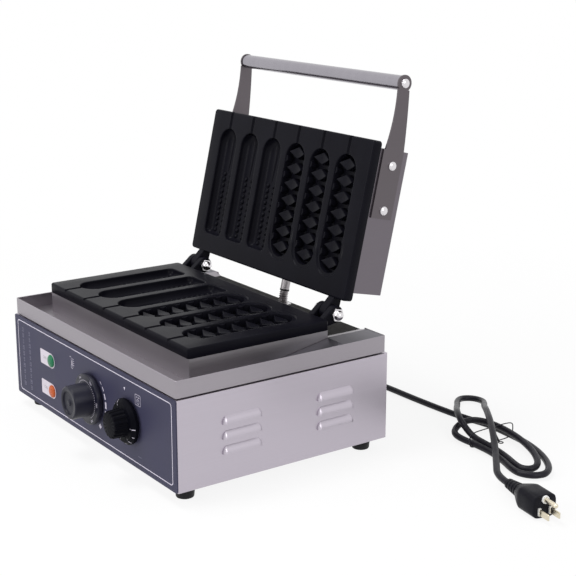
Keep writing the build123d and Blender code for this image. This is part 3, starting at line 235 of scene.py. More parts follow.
hank = hank_line()
gland_lead, joint_lead = 17, 20
gland_end = np.array([-60, 292.8, 38])
lead = np.array([(-58, 330, 28), (-52, 350, 14), (-36, 367, 5), (-8, 379, 3.8), (34, 386, 3.7),
                 (82, 386, 3.8), (130, 388, 3.7), (170, 391, 3.9)])
tail = np.array([(208, 352, 18.8), (190, 362, 22.8), (166, 383, 16), (146, 403, 9.5), (130, 417, 6.5),
                 (122, 431, 5), (130, 443, 5), (146, 444, 6), (160, 433, 9), (181, 412, 17), (212, 386, 27),
                 (248, 359, 27), (280, 334, 18), (308, 309, 14)])
plug_end = np.array([349, 286, 12.3])
plug_heading = math.radians(-10)
plug_out = np.array([math.cos(plug_heading), math.sin(plug_heading), 0])
cord_route = np.vstack([
    gland_end, gland_end + (0, gland_lead, 0), lead, hank[0] - joint_lead * unit(hank[1] - hank[0]), hank,
    hank[-1] + joint_lead * unit(hank[-1] - hank[-2]), tail, plug_end - joint_lead * plug_out, plug_end,
])
cord_route = cord_route / 1000 + (0, machine_front, 0)
power_cord = line_object("mains_cord", cord_route, cord_thickness)
settle(power_cord, cord_black, "base", "cord_rubber", "power_cord", "cord_hank", "cord_tail")


# Plug: a moulded three-pin plug. Its ribbed relief swells into a body with rounded corners and a flat front,
# and each brass pin stands in a white collar.
def joined(name, points, faces, finish, body, slot, *replaced, sharp=32):
    """Mesh whose coinciding points are merged, so poles and seams close, and whose faces look outwards."""
    mesh = bpy.data.meshes.new(name)
    mesh.from_pydata(points.tolist(), [], faces)
    work = bmesh.new()
    work.from_mesh(mesh)
    weld, sliver = 2e-6, 1e-6
    bmesh.ops.remove_doubles(work, verts=work.verts, dist=weld)
    bmesh.ops.dissolve_degenerate(work, edges=work.edges, dist=sliver)
    bmesh.ops.recalc_face_normals(work, faces=work.faces)
    work.to_mesh(mesh)
    work.free()
    mesh.shade_smooth()
    mesh.set_sharp_from_angle(angle=math.radians(sharp))
    made = bpy.data.objects.new(name, mesh)
    bpy.context.scene.collection.objects.link(made)
    return settle(made, finish, body, slot, *replaced)


def piece(name, sheets, finish, body, slot, *replaced, sharp=32):
    """Mesh from sheets, each an array of rings x points x 3 in metres whose rings close on themselves: each
    quad joins two neighbouring points of a ring to the same two of the next."""
    points, faces, start = [], [], 0
    for sheet in sheets:
        rings, count = sheet.shape[:2]
        row, column = np.meshgrid(np.arange(rings - 1), np.arange(count), indexing="ij")
        here, beside = row * count + column, row * count + (column + 1) % count
        faces.append(np.stack([here, beside, beside + count, here + count], -1).reshape(-1, 4) + start)
        points.append(sheet.reshape(-1, 3))
        start += rings * count
    faces = np.vstack(faces).tolist()
    return joined(name, np.vstack(points), faces, finish, body, slot, *replaced, sharp=sharp)


def placed(flat, origin, across, up, out):
    """Points given as (across, up, out) in millimetres, put into the frame from an origin in metres."""
    axes = np.array([across, up, out], float)
    return np.asarray(flat, float) @ axes / 1000 + np.asarray(origin, float)


def turned(profile, origin, axis, side, count=48):
    """Profile of (radius, height) pairs in millimetres turned about an axis through the origin."""
    profile = np.array(profile, float)
    turn = np.linspace(0, 2 * np.pi, count, endpoint=False)
    radius, height = profile[:, :1], profile[:, 1:]
    flat = np.stack([radius * np.cos(turn), radius * np.sin(turn), height + 0 * turn], -1)
    axis, side = unit(np.array(axis, float)), unit(np.array(side, float))
    return placed(flat, origin, side, np.cross(axis, side), axis)


plug_up = np.array([0, 0, 1.0])
plug_side = np.cross(plug_up, plug_out)
plug_origin = plug_end / 1000 + (0, machine_front, 0)
plug_black = rubber("plug rubber", (0.004, 0.004, 0.007), 0.3, 0.44, 0.12)


def plain(name, shade, low, high, scale, detail=3, **sockets):
    """One colour, with a roughness that varies from low to high in patches."""
    made = Finish(name, Base_Color=shade, **sockets)
    made.roughness(made.noise(scale, detail), low, high)
    return made


pin_metal = plain("pin brass", (0.72, 0.66, 0.52), 0.18, 0.34, 300, Metallic=1.0)
collar_white = plain("pin collars", (0.82, 0.82, 0.81), 0.35, 0.5, 400, 2)


def superellipse(half_width, half_height, power, count=56):
    """Closed outline |x/a|^p + |y/b|^p = 1: an ellipse at power 2, near a rounded box above 4."""
    t = np.linspace(0, 2 * np.pi, count, endpoint=False)
    wave = np.stack([np.cos(t), np.sin(t)], -1)
    return np.sign(wave) * np.abs(wave) ** (2 / power) * (half_width, half_height)


def stacked(outlines, heights):
    """Rings of points from closed outlines and the height of each."""
    return np.stack([np.column_stack([line, np.full(len(line), height)])
                     for line, height in zip(outlines, heights)])


relief_length, relief_grooves = 20, 4
relief_root, relief_growth, groove_depth = 5.2, 2.3, 0.75
relief_steps = np.linspace(0, relief_length, 41)
relief_share = relief_steps / relief_length
groove = np.cos(relief_share * 2 * np.pi * relief_grooves) > 0.45
relief_rings = relief_root + relief_growth * relief_share - groove_depth * groove
swell_start, swell_length, plug_half, plug_power, plug_length = 7.75, 24, (13.5, 12), 3.9, 61
swell = np.linspace(0, 1, 14)[1:]
ease = swell ** 1.25 * (3 - 2 * swell ** 1.25) * swell ** 0.1
closing = (0.01, 0.01)
plug_outlines = [superellipse(*closing, 2)] + [superellipse(r, r, 2) for r in relief_rings]
plug_outlines += [superellipse(swell_start + (plug_half[0] - swell_start) * e,
                               swell_start + (plug_half[1] - swell_start) * e, 2 + (plug_power - 2) * e)
                  for e in np.clip(ease, 0, 1)]
plug_outlines += [superellipse(plug_half[0] - inset, plug_half[1] - inset, plug_power)
                  for inset in (0, 0, 0.4, 1.2)] + [superellipse(*closing, plug_power)]
plug_heights = [0, *relief_steps, *(relief_length + swell_length * swell), 45, plug_length - 1,
                plug_length - 0.3, plug_length, plug_length]
plug = piece("plug_moulding",
             [placed(stacked(plug_outlines, plug_heights), plug_origin, plug_side, plug_up, plug_out)],
             plug_black, "base", "cord_rubber", "plug_body")

blade_spread, blade_drop, earth_rise = 12.7, -4.6, 7.3
blade_half, blade_tip, pin_root = (0.75, 3.2), (0.35, 2.8), plug_length - 5


def blade(side):
    """Flat pin whose corners are rounded and whose end is chamfered."""
    outlines = [superellipse(*half, 8) for half in (closing, blade_half, blade_half, blade_tip, closing)]
    rings = stacked(outlines, [pin_root, pin_root, 75.8, 77, 77]) + (side * blade_spread / 2, blade_drop, 0)
    return placed(rings, plug_origin, plug_side, plug_up, plug_out)


earth_radius = 2.4
earth_profile = [(0, pin_root), (earth_radius, pin_root), (earth_radius, 77.5), (2.1, 79), (1.2, 79.8),
                 (0, 80)]
earth_origin = plug_origin + plug_up * earth_rise / 1000
pins = piece("plug_prongs", [blade(-1), blade(1), turned(earth_profile, earth_origin, plug_out, plug_side)],
             pin_metal, "base", "pin_brass", "plug_pins")


def collar(half, spot, wall, power):
    """White insulating ring round a pin's root: two superellipses, a wall apart, open through the middle."""
    inner = superellipse(half[0], half[1], power)
    outer = superellipse(half[0] + wall, half[1] + wall, power)
    rings = stacked([inner, outer, outer, outer * 0.97, inner, inner],
                    plug_length + np.array([0, 0, 1.2, 1.6, 1.6, 0]))
    return placed(rings + (*spot, 0), plug_origin, plug_side, plug_up, plug_out)


collars = piece("plug_collars", [collar(blade_half, (-blade_spread / 2, blade_drop), 0.85, 6),
                                 collar(blade_half, (blade_spread / 2, blade_drop), 0.85, 6),
                                 collar((earth_radius, earth_radius), (0, earth_rise), 1.7, 2)],
                collar_white, "base", "collar_white", "pin_collars")


# Wire tie: a rubber-coated wire bent round the hank's waist. Its two ends are twisted together and closed
# in an eye.
tie_wire, tie_half_width, tie_half_height = 1.2, 32.5, 9.1
tie_middle = np.array([239, 368.7, tie_wire / 2 + tie_half_height])
tie_ring = superellipse(tie_half_width, tie_half_height, 5, 24)
tie_ring = np.column_stack([np.zeros(len(tie_ring)), tie_ring]) + tie_middle
stem_start = tie_middle + (0, 0, tie_half_height)
stem_reach = np.array([16, -4, -11])
twist_radius, twist_turns, eye_radius = 0.62, 4.5, 2.6
twist = np.linspace(0, 1, 40)[:, None]
twist_turn = twist * twist_turns * 2 * np.pi
stem_side = unit(np.cross(stem_reach, (0, 0, 1)))
stem_up = unit(np.cross(stem_side, stem_reach))
stem_line = stem_start + stem_reach * twist
stem_wave = twist_radius * (np.cos(twist_turn) * stem_side + np.sin(twist_turn) * stem_up)
eye_turn = np.linspace(0, 2 * np.pi, 17)[:-1]
eye_line = eye_radius * np.column_stack([1 + np.cos(eye_turn), np.sin(eye_turn), 0 * eye_turn])
eye_line = eye_line + stem_start + stem_reach
for label, points, closed in (("tie_ring", tie_ring, True), ("tie_strand_a", stem_line + stem_wave, False),
                              ("tie_strand_b", stem_line - stem_wave, False), ("tie_eye", eye_line, True)):
    strand = line_object(label, points / 1000 + (0, machine_front, 0), tie_wire / 1000, closed)
    strand.data.bevel_resolution = 2
    settle(strand, cord_black, "base", "cord_rubber")
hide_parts("cord_tie")


# Rubber feet: four moulded feet, 21 mm wide under the case and narrower below. Each has a pocket for the
# screw that holds it and the vented floor sheet to the case.
foot_black = rubber("foot rubber", (0.008, 0.008, 0.009), 0.45, 0.62)
foot_profile = [(10.5, 14), (10.5, 13), (9.4, 1.5), (9, 0.4), (8.2, 0), (5.4, 0), (5.05, 0.4), (5.05, 8.5),
                (2.55, 8.5), (2.55, 14), (10.5, 14)]
foot_x, foot_front, foot_rear = 0.165, -0.12348, 0.09932
foot_places = [(x, y) for x in (-foot_x, foot_x) for y in (foot_front, foot_rear)]
piece("moulded_feet", [turned(foot_profile, (x, y, 0), (0, 0, 1), (1, 0, 0), 36) for x, y in foot_places],
      foot_black, "base", "foot_rubber", "rubber_feet")


# Case: a wrap of 1.2 mm brushed stainless sheet with folded flanges, its louvres stamped outwards, over a
# vented floor sheet. The grain of the sheet runs level round the walls.
def brushed(name, shade, low, high, fine=1500, coarse=3):
    """Brushed metal: noise drawn out along the level in walls, and along X in level faces, shades the
    colour, roughness and a shallow relief. Larger clouds vary the roughness too."""
    made = Finish(name, Metallic=1.0)
    normal = made.node("ShaderNodeNewGeometry", {}, {}, "Normal")
    rise = made.node("ShaderNodeSeparateXYZ", {}, {"Vector": normal}, "Z")
    walls = made.noise(1, 5, (coarse, coarse, fine))
    level = made.noise(1, 5, (coarse, fine, coarse))
    lines = walls + (level - walls) * (rise * rise > 0.6)
    clouds = made.noise(9, 3)
    dark, light = [tone * 0.975 for tone in shade], [tone * 1.025 for tone in shade]
    made.colour(lines * 0.7 + clouds * 0.3, dark, light)
    made.roughness(lines * 0.5 + clouds * 0.5, low, high)
    made.relief(lines, 0.000005)
    return made


def dress(finish, *names):
    """Gives CAD nodes whose shape is already right their finish."""
    for name in names:
        nodes[name].data.materials.clear()
        nodes[name].data.materials.append(finish.material)


case_steel = brushed("brushed case steel", (0.5, 0.46, 0.52), 0.3, 0.4)
inner_steel = brushed("inner sheet", (0.42, 0.41, 0.42), 0.36, 0.5)
dress(case_steel, "case_wrap")
dress(inner_steel, "bottom_plate")
screw_steel = plain("bright screws", (0.66, 0.65, 0.66), 0.16, 0.3, 260, Metallic=1.0)
dress(screw_steel, "foot_screws")


# Units behind the panel: the thermostat with its bulb and capillary, the timer, the terminal block and the
# threaded lamp holders, in dark and grey plastic.
unit_plastic = plain("unit plastic", (0.16, 0.16, 0.17), 0.4, 0.55, 150)
unit_plastic.relief(unit_plastic.noise(1500, 2), 0.00004)
capillary_copper = plain("capillary copper", (0.72, 0.42, 0.3), 0.25, 0.42, 200, Metallic=1.0)
holder_black = rubber("lamp holder plastic", (0.01, 0.01, 0.012), 0.35, 0.5)
dress(unit_plastic, "thermostat", "timer", "terminal_block")
dress(capillary_copper, "thermostat_bulb")
dress(holder_black, "lamp_holders")


# Control panel: a dark blue-grey plate over the whole front, with its marks printed in white: a border line,
# two lamp labels, the signs for heat and time, a tapered scale between the knobs, and two faint columns.
panel_finish = Finish("printed panel", Specular_IOR_Level=0.15)
panel_clouds = panel_finish.noise(30, 4)
panel_finish.colour(panel_clouds, (0.038, 0.037, 0.072), (0.044, 0.043, 0.081))
panel_finish.roughness(panel_clouds, 0.42, 0.5)
panel_finish.relief(panel_finish.noise(2400, 2), 0.00003)
dress(panel_finish, "control_panel")
ink_white = plain("white print", (0.62, 0.58, 0.68), 0.45, 0.6, 400, 2)
ink_faint = Finish("faint print")
ink_faint.colour(ink_faint.noise(120, 3), (0.1, 0.097, 0.155), (0.16, 0.155, 0.23))
ink_faint.roughness(ink_faint.noise(400, 2), 0.45, 0.6)
label_white = plain("lamp labels", (0.6, 0.55, 0.62), 0.3, 0.42, 300)
panel_origin = np.array([0, machine_front, 0.014])
panel_seat = (panel_origin, (1, 0, 0), (0, 0, 1), (0, -1, 0))
dial_x = {"temperature_knob": 8, "timer_knob": 91}
dial_height, ink_height, label_height = 47.5, 0.06, 0.05


def pad(outline, low=0, high=ink_height):
    """Closed slab over an outline whose every point is seen from its middle."""
    middle = 0 * outline + outline.mean(0)
    return stacked([middle, outline, outline, middle], [low, low, high, high])


def band(inner, outer, low=0, high=ink_height):
    """Closed slab between two outlines of equal count."""
    return stacked([inner, outer, outer, inner, inner], [low, low, high, high, low])


def rounded(half_width, half_height, radius, middle=(0, 0), count=7):
    """Rectangle with quarter-circle corners: four arcs of a radius round the corners of a smaller one."""
    turn = np.linspace(0, np.pi / 2, count) + np.arange(4)[:, None] * np.pi / 2
    arcs = radius * np.stack([np.cos(turn), np.sin(turn)], -1)
    signs = np.array([(1, 1), (-1, 1), (-1, -1), (1, -1)])
    return (arcs + (signs * (half_width - radius, half_height - radius))[:, None]).reshape(-1, 2) + middle


def circle(radius, middle=(0, 0), count=40):
    """Points of a circle."""
    return superellipse(radius, radius, 2, count) + middle


def printed_ring(radius, width, middle):
    """Ring of a width just outside a radius."""
    return band(circle(radius, middle), circle(radius + width, middle))


def printed_line(start, end, width, middle=(0, 0), high=ink_height):
    """Straight line of a width between two points, which are given from a sign's middle."""
    start, end = np.array(start, float), np.array(end, float)
    side = unit(end - start)[::-1] * (1, -1) * width / 2
    return pad(np.array([start + side, end + side, end - side, start - side]) + middle, high=high)


border_half, border_corner, border_line, border_middle = (176.6, 42), 3.4, 1, (0, 48.6)
marks = [band(*[rounded(border_half[0] + grown, border_half[1] + grown, border_corner + grown, border_middle)
                for grown in (0, border_line)])]
heat_sign, time_sign = np.array([-37, 75.5]), np.array([110.4, 75])
marks += [printed_line((x, -3.2), (x, 5), 0.4, heat_sign) for x in (-1.2, 1.2)]
marks += [printed_ring(2.1, 0.4, heat_sign - (0, 4.6)), printed_line((0, -5), (0, 2), 0.6, heat_sign),
          printed_line((-5, 5.6), (-2.4, 5.6), 0.5, heat_sign)]
marks += [printed_line((3, rise), (5, rise), 0.45, heat_sign) for rise in (-2.6, -0.4, 1.8, 4)]
marks += [band(rounded(5.2, 5.4, 0.8, time_sign), rounded(5.6, 5.8, 1.2, time_sign)),
          printed_ring(2.3, 0.4, time_sign - (0, 1.6)), printed_line((0, -1.6), (0, 0.3), 0.5, time_sign)]
marks += [printed_line((x - 1.2, 3), (x + 1.2, 3), 0.8, time_sign) for x in (-2, 2)]
pointer_tip = (82.7, 77.6)
marks.append(pad(np.array([(-1.6, 3.6), (1.6, 3.6), (0, 0)]) + pointer_tip))

scale_middle, scale_radius = (dial_x["temperature_knob"], dial_height), 32
scale_dashes = ((50, 43), (38, 29), (24, 13), (8, -5), (-11, -22))
for step, (high, low) in enumerate(scale_dashes):
    arc = np.radians(np.linspace(high, low, 8))
    ray = np.column_stack([np.cos(arc), np.sin(arc)])
    thick = 0.35 + 0.36 * step
    dash = np.vstack([(scale_radius - thick) * ray, (scale_radius + thick) * ray[::-1]])
    marks.append(pad(dash + scale_middle))
for turn, size in ((-36, 1.1), (-57, 3.1)):
    spot = scale_radius * np.array([math.cos(math.radians(turn)), math.sin(math.radians(turn))])
    marks.append(pad(superellipse(size, size, 1, 4) + spot + scale_middle))
piece("panel_print", [placed(sheet, *panel_seat) for sheet in marks], ink_white, "base", "panel_black")

lamp_x, lamp_heights = -90, (26.5, 62.5)
label_half, label_end, label_corner = 8.6, -28, 1
tip = np.linspace(-np.pi / 2, np.pi / 2, 15)
label = np.vstack([
    label_half * np.column_stack([np.cos(tip), np.sin(tip)]),
    [(label_end + label_corner, label_half), (label_end, label_half - label_corner),
     (label_end, label_corner - label_half), (label_end + label_corner, -label_half)],
])
piece("lamp_labels", [placed(pad(label + (lamp_x, height), high=label_height), *panel_seat)
                      for height in lamp_heights], label_white, "base", "panel_black")
faint = [printed_line((108, 14), (115, 14), 0.5, high=label_height)]
for column, x in enumerate((-164, -147)):
    for row in range(10):
        spot = (x, 81.5 - row * 7.3 - column * 1.5)
        wide = 2.6 - 0.5 * ((row + column) % 3)
        faint += [printed_line((-wide, rise), (wide, rise), 0.8, spot, label_height)
                  for rise in (-1.9, 0.3, 2)]
        faint.append(printed_line((wide - 0.6, -1.9), (wide - 0.6, 2.2), 0.7, spot, label_height))
piece("faint_marks", [placed(sheet, *panel_seat) for sheet in faint], ink_faint, "base", "panel_black")


# Lamps: two domed lenses, each in a white printed ring, clipped into the holders behind the panel. The tinted
# plastic is clear on its outside and ribbed within.
lens_radius, lens_rim, lens_bevel, lens_rise = 7.2, 0.9, 0.2, 1.85


def lens(name, height, deep, pale, slot):
    """Lens of tinted plastic: a short straight rim, and a quarter ellipse turned about the lens's axis."""
    made = Finish(name.replace("_", " "), Specular_IOR_Level=0.3)
    ribs = made.noise(700, 2)
    made.colour(ribs, deep, pale)
    made.roughness(ribs, 0.25, 0.4)
    turn = np.linspace(0, np.pi / 2, 9)
    dome = np.column_stack([(lens_radius - lens_bevel) * np.cos(turn),
                            lens_rim + lens_bevel + lens_rise * np.sin(turn)])
    profile = [(0, 0), (lens_radius, 0), (lens_radius, lens_rim), *dome]
    origin = panel_origin + (lamp_x / 1000, 0, height / 1000)
    piece(name + "_dome", [turned(profile, origin, (0, -1, 0), (1, 0, 0))], made, "base", slot, name)


lens("orange_lens", lamp_heights[0], (0.4, 0.07, 0.01), (0.52, 0.1, 0.02), "lens_orange")
lens("green_lens", lamp_heights[1], (0.004, 0.13, 0.05), (0.006, 0.17, 0.07), "lens_green")


# Knobs: two moulded black knobs pushed on steel spindles. The left one has a wide skirt with a printed ring
# of dots and figures, and a smooth cap with a sunk disc. The right one is fluted, on a bevelled skirt. Screws
# behind the skirts hold the units to the panel.
knob_black = rubber("knob plastic", (0.006, 0.006, 0.015), 0.3, 0.42, 0.22)
timer_black = rubber("timer plastic", (0.002, 0.002, 0.004), 0.36, 0.48, 0.03)
dress(screw_steel, "control_screws", "temperature_spindle", "timer_spindle")


def knob_seat(body):
    """Middle and axes of a dial: across the panel, up it, and out of it."""
    return panel_origin + (dial_x[body] / 1000, 0, dial_height / 1000), *panel_seat[1:]


def figures(name, words, seat, finish, body, slot):
    """Printed figures: each (text, size, turn, radius, height) stands round a seat's axis, feet inwards."""
    points, faces, start = [], [], 0
    for text, size, turn, radius, height in words:
        curve = bpy.data.curves.new("figure", "FONT")
        curve.body, curve.size, curve.extrude, curve.resolution_u = text, size, 0.04, 2
        curve.align_x = curve.align_y = "CENTER"
        shape = bpy.data.objects.new("figure", curve)
        flat = bpy.data.meshes.new_from_object(shape)
        spots = np.array([vertex.co for vertex in flat.vertices])
        lean = math.radians(turn)
        side, up = np.array([math.cos(lean), -math.sin(lean)]), np.array([math.sin(lean), math.cos(lean)])
        level = spots[:, :1] * side + (spots[:, 1:2] + radius) * up
        points.append(np.column_stack([level, spots[:, 2] + height]))
        faces += [[corner + start for corner in polygon.vertices] for polygon in flat.polygons]
        start += len(spots)
        bpy.data.objects.remove(shape)
        bpy.data.curves.remove(curve)
        bpy.data.meshes.remove(flat)
    return joined(name, placed(np.vstack(points), *seat), faces, finish, body, slot)


bore = [(0, 16), (3.05, 16), (3.05, 2)]
skirt = [(27.4, 2), (28, 2.6), (28, 5.6), (27.6, 6.5), (26.8, 7), (19.4, 7), (18.7, 7.4)]
cap = [(18.5, 8.2), (18.2, 26), (17.7, 27.3), (16.6, 28), (13.4, 28), (12.7, 27.6), (12.4, 26.6),
       (11.8, 26.4)]
boss = [(4.4, 26.4), (3.7, 26.7), (3.4, 27.3), (3, 27.5), (0, 27.5)]
origin, across, up, out = knob_seat("temperature_knob")
piece("temperature_cap", [turned(bore + skirt + cap + boss, origin, out, across, 72)], knob_black,
      "temperature_knob", "knob_black", "temperature_knob")
dot_ring, dot_radius, dial_reach, skirt_top = 20.8, 0.5, 150, 7
dots = [circle(dot_radius, (dot_ring * math.sin(turn), dot_ring * math.cos(turn)), 8)
        for turn in np.radians(np.linspace(-dial_reach, dial_reach, 46))]
piece("temperature_dots", [placed(pad(dot, skirt_top - 0.02, skirt_top + ink_height), origin, across, up, out)
                           for dot in dots], ink_white, "temperature_knob", "panel_black")
heats = [(str(50 * (step + 1)), 3.6, 60 * step - dial_reach, 24.3, skirt_top + 0.02) for step in range(6)]
figures("temperature_figures", heats, (origin, across, up, out), ink_white, "temperature_knob", "panel_black")
label_grey = plain("label print", (0.28, 0.27, 0.3), 0.4, 0.55, 400, 2)
word_x, word_size, word_height = -107, 5.2, 0.07
for colour, height in zip(("orange", "green"), lamp_heights):
    label_seat = (panel_origin + (word_x / 1000, 0, height / 1000), *panel_seat[1:])
    figures(colour + "_label", [("ON", word_size, 0, 0, word_height)], label_seat, label_grey, "base",
            "panel_black")

origin, across, up, out = knob_seat("timer_knob")
timer_turn = np.linspace(0, 2 * np.pi, 256, endpoint=False)
flute_count = 16
flute = 0.5 + 0.5 * np.tanh(3.2 * np.cos(flute_count * timer_turn) + 0.9)
bevel_foot, bevel_top, grip_top = (24.25, 5.2), (20.6, 9), 23.4
timer_profile = np.array([*bore, (23.7, 2), (24.25, 2.6), bevel_foot, bevel_top, (16, 9), (15.2, 9.4),
                          (15, 10.2), (14.5, 22), (13.8, 23), (12.8, grip_top), (0, grip_top)])
flute_depth = np.array([0, 0, 0, 0, 0, 0, 0, 0.2, 1, 1.3, 1.3, 1.1, 0.5, 0])
timer_radius = timer_profile[:, :1] - flute_depth[:, None] * (1 - flute)
timer_rings = np.stack([timer_radius * np.cos(timer_turn), timer_radius * np.sin(timer_turn),
                        timer_profile[:, 1:] + 0 * timer_turn], -1)
piece("timer_grip", [placed(timer_rings, origin, across, up, out)], timer_black, "timer_knob", "knob_black",
      "timer_knob")
timer_first, tick_step, tick_half_height, ticks = 95, 24, 0.05, []
tick_reaches, tick_halves, tick_end = (20.9, 21.8), (0.42, 0.28), 23.6
bevel_slope = (bevel_top[1] - bevel_foot[1]) / (bevel_foot[0] - bevel_top[0])
for step in range(11):
    turn = math.radians(timer_first + tick_step * step)
    ray, side = np.array([math.sin(turn), math.cos(turn)]), np.array([math.cos(turn), -math.sin(turn)])
    reach, half = tick_reaches[step % 2], tick_halves[step % 2]
    corners = np.array([(reach, -half), (tick_end, -half), (tick_end, half), (reach, half)])
    flat = corners[:, :1] * ray + corners[:, 1:] * side
    drop = bevel_top[1] - (corners[:, :1] - bevel_top[0]) * bevel_slope
    low = np.column_stack([flat, drop - tick_half_height])
    high = np.column_stack([flat, drop + tick_half_height])
    middle = [0 * sheet + sheet.mean(0) for sheet in (low, high)]
    ticks.append(np.stack([middle[0], low, high, middle[1]]))
piece("timer_ticks", [placed(tick, origin, across, up, out) for tick in ticks], ink_white, "timer_knob",
      "panel_black")
minutes = [(str(step), 2.7, timer_first + 2 * tick_step * step, 18.6, 9.0) for step in range(6)]
figures("timer_figures", minutes, (origin, across, up, out), ink_white, "timer_knob", "panel_black")


# Drip tray, plinth and rear deck: a folded pan whose rim stands round the mould on a recessed ring, the
# collar that the lower mould lies on, and the cover behind it that carries the conduit.
tray_steel = brushed("tray steel", (0.34, 0.315, 0.345), 0.3, 0.42)
plinth_steel = brushed("plinth steel", (0.4, 0.38, 0.4), 0.32, 0.45)
# The deck cover is tray steel; its near-black matt colour is painted shade and painted dark reflection.
deck_painted_shade = rubber("deck painted shade", (0.009, 0.0075, 0.007), 0.42, 0.5, 0.03)
# The shelves' dark tone is painted shade: the tray's steel made darker where the deck lies in shade.
shelf_painted_shade = brushed("shelf steel painted shade", (0.13, 0.125, 0.145), 0.34, 0.45)
dress(plinth_steel, "mould_collar")
tray_front, tray_rear, tray_half = -142.28, 116.9, 183.2
tray_sheet, tray_bend, tray_corner = 1.2, 0.3, 2.4
rim_foot, rim_top, floor_top, skirt_inset, skirt_foot = 111.3, 129.4, 114.3, 6, 110
rim_step = 124.9
rim_steps = [(148.4, rim_top), (147.6, rim_step), (-147.6, rim_step), (-148.4, rim_top)]


def pan_line(half_width, front, rear, radius):
    """Rounded rectangle seen from above, with four more points on its rear side, where the rim steps down."""
    line = rounded(half_width, (rear - front) / 2, radius, (0, (front + rear) / 2), 5)
    return np.vstack([line[:5], [(x, rear) for x, height in rim_steps], line[5:]])


def pan_inset(inset):
    """The tray's outline drawn in by an inset."""
    corner = max(tray_corner - inset, tray_bend)
    return pan_line(tray_half - inset, tray_front + inset, tray_rear - inset, corner)


rim_line = np.array([rim_top] * 5 + [height for x, height in rim_steps] + [rim_top] * 15)
opening_half, opening_front, opening_rear = 148.3, -102.08, 55.9
opening = pan_line(opening_half, opening_front, opening_rear, tray_bend)
outer, inner = pan_inset(0), pan_inset(tray_sheet)
skirt_outer, skirt_inner = pan_inset(skirt_inset), pan_inset(skirt_inset + tray_sheet)
floor_under = floor_top - tray_sheet
pan_rings = [(outer, rim_foot), (outer, rim_line - tray_bend), (pan_inset(tray_bend), rim_line),
             (pan_inset(tray_sheet - tray_bend), rim_line), (inner, rim_line - tray_bend), (inner, floor_top),
             (opening, floor_top), (opening, floor_under), (skirt_inner, floor_under),
             (skirt_inner, skirt_foot), (skirt_outer, skirt_foot), (skirt_outer, floor_under),
             (inner, floor_under), (inner, rim_foot), (outer, rim_foot)]
pan = np.stack([np.column_stack([line, height + 0 * line[:, 0]]) for line, height in pan_rings])
piece("drip_pan", [pan / 1000], tray_steel, "base", "tray_steel", "top_tray")
deck_front, deck_rear, deck_half, deck_top = 61.4, 115.65, 140.9, 126.3
slope_foot, slope_head, shelf_edge, shelf_top = 141, 153, 181.9, rim_top - 0.2
ramp_front, ramp_inner, fold_gap = -20, 155, 0.1


def prism(*rings):
    """Closed solid through rings given in millimetres, with a fan over each end."""
    rings = np.array(rings)
    ends = [0 * ring + ring.mean(0) for ring in (rings[0], rings[-1])]
    return np.stack([ends[0], *rings, ends[1]]) / 1000


def deck_sheet(*spans):
    """Prism along X that stands on the tray's floor. Each span is (x, height)."""
    return prism(*[[(x, deck_front, floor_top), (x, deck_front, height), (x, deck_rear, height),
                    (x, deck_rear, floor_top)] for x, height in spans])


piece("deck_cover", [deck_sheet((-deck_half, deck_top), (deck_half, deck_top))], deck_painted_shade, "base",
      "tray_steel", "rear_deck", sharp=5)
slopes, shelves = [], []
for side in (-1, 1):
    slopes.append(deck_sheet(*sorted([(side * slope_foot, deck_top), (side * slope_head, shelf_top)])))
    shelf_start = slope_head + fold_gap
    shelves.append(deck_sheet(*sorted([(side * shelf_start, shelf_top), (side * shelf_edge, shelf_top)])))
    ramp_rear = deck_front - fold_gap
    shelves.append(prism(*[[(x, ramp_front, floor_top), (x, ramp_rear, shelf_top), (x, ramp_rear, floor_top)]
                           for x in sorted([side * ramp_inner, side * shelf_edge])]))
piece("deck_slopes", slopes, tray_steel, "base", "tray_steel", sharp=5)
piece("deck_shelves", shelves, shelf_painted_shade, "base", "tray_steel", sharp=5)


# Heating elements: a bent steel tube, brown from the heat, in the hollow back of each mould plate. Clamp bars
# and screws press it to the casting, and a folded sheet shields what lies behind it.
element_steel = brushed("oxidised element", (0.3, 0.25, 0.2), 0.42, 0.6, 300, 60)
dress(element_steel, "lower_heating_element", "upper_heating_element")
dress(inner_steel, "lower_heat_shield", "upper_heat_shield", "lower_element_clamps", "upper_element_clamps")
dress(screw_steel, "lower_clamp_screws", "upper_clamp_screws")


# Mould plates: two aluminium castings in a black non-stick coat. Each has six stick cavities, three with
# rows of pips and three with diamond posts, a stick groove from each to the free edge, and hinge lugs.
coating = Finish("non-stick coating", Specular_IOR_Level=0.05)
coating_clouds = coating.noise(22, 4)
coating.colour(coating_clouds, (0.004, 0.0038, 0.0065), (0.006, 0.0058, 0.0095))
coating.roughness(coating_clouds + 0.25 * coating.noise(900, 2), 0.26, 0.36)
coating.relief(coating.noise(1800, 3), 0.00003)
hinge_y, hinge_z, lean = 0.078616, 0.15, math.radians(12.8)
hinge = np.array([0, hinge_y, hinge_z])
lid_up = np.array([0, math.sin(lean), math.cos(lean)])
lid_back = np.array([0, math.cos(lean), -math.sin(lean)])
lower_axis, upper_axis = 1.2, -0.9
plate_seats = {
    "lower": (hinge - (0, 0, lower_axis / 1000), (1, 0, 0), (0, -1, 0), (0, 0, 1)),
    "upper": (hinge + upper_axis / 1000 * lid_back, (1, 0, 0), lid_up, -lid_back),
}
plate_half, plate_near, plate_far, plate_corner, plate_edge = 155.5, 16.3, 189.5, 4, 2
plate_depth, block_depth = 11.2, 15.8
block_half, block_near, block_far, block_corner, block_stretch = 142, 31, 177, 8, 0.96
cell_half, cell_near, cell_far = 23.15, 18.7, 187.1
cavity_half, cavity_near, cavity_far = 17.65, 39.2, 169
corn_depth, diamond_depth, corn_fillet, diamond_fillet, corn_corner = 8.6, 11, 7, 3, 6
cavity_edge, wall_slope = 1.2, math.tan(math.radians(8))
round_near, round_far = cavity_near + cavity_half, cavity_far - cavity_half
groove_radius, groove_start = 2.5, 180
groove_x = np.array([0, 0.5, 1, 1.5, 2, 2.35, 2.5, 3.2, 4])
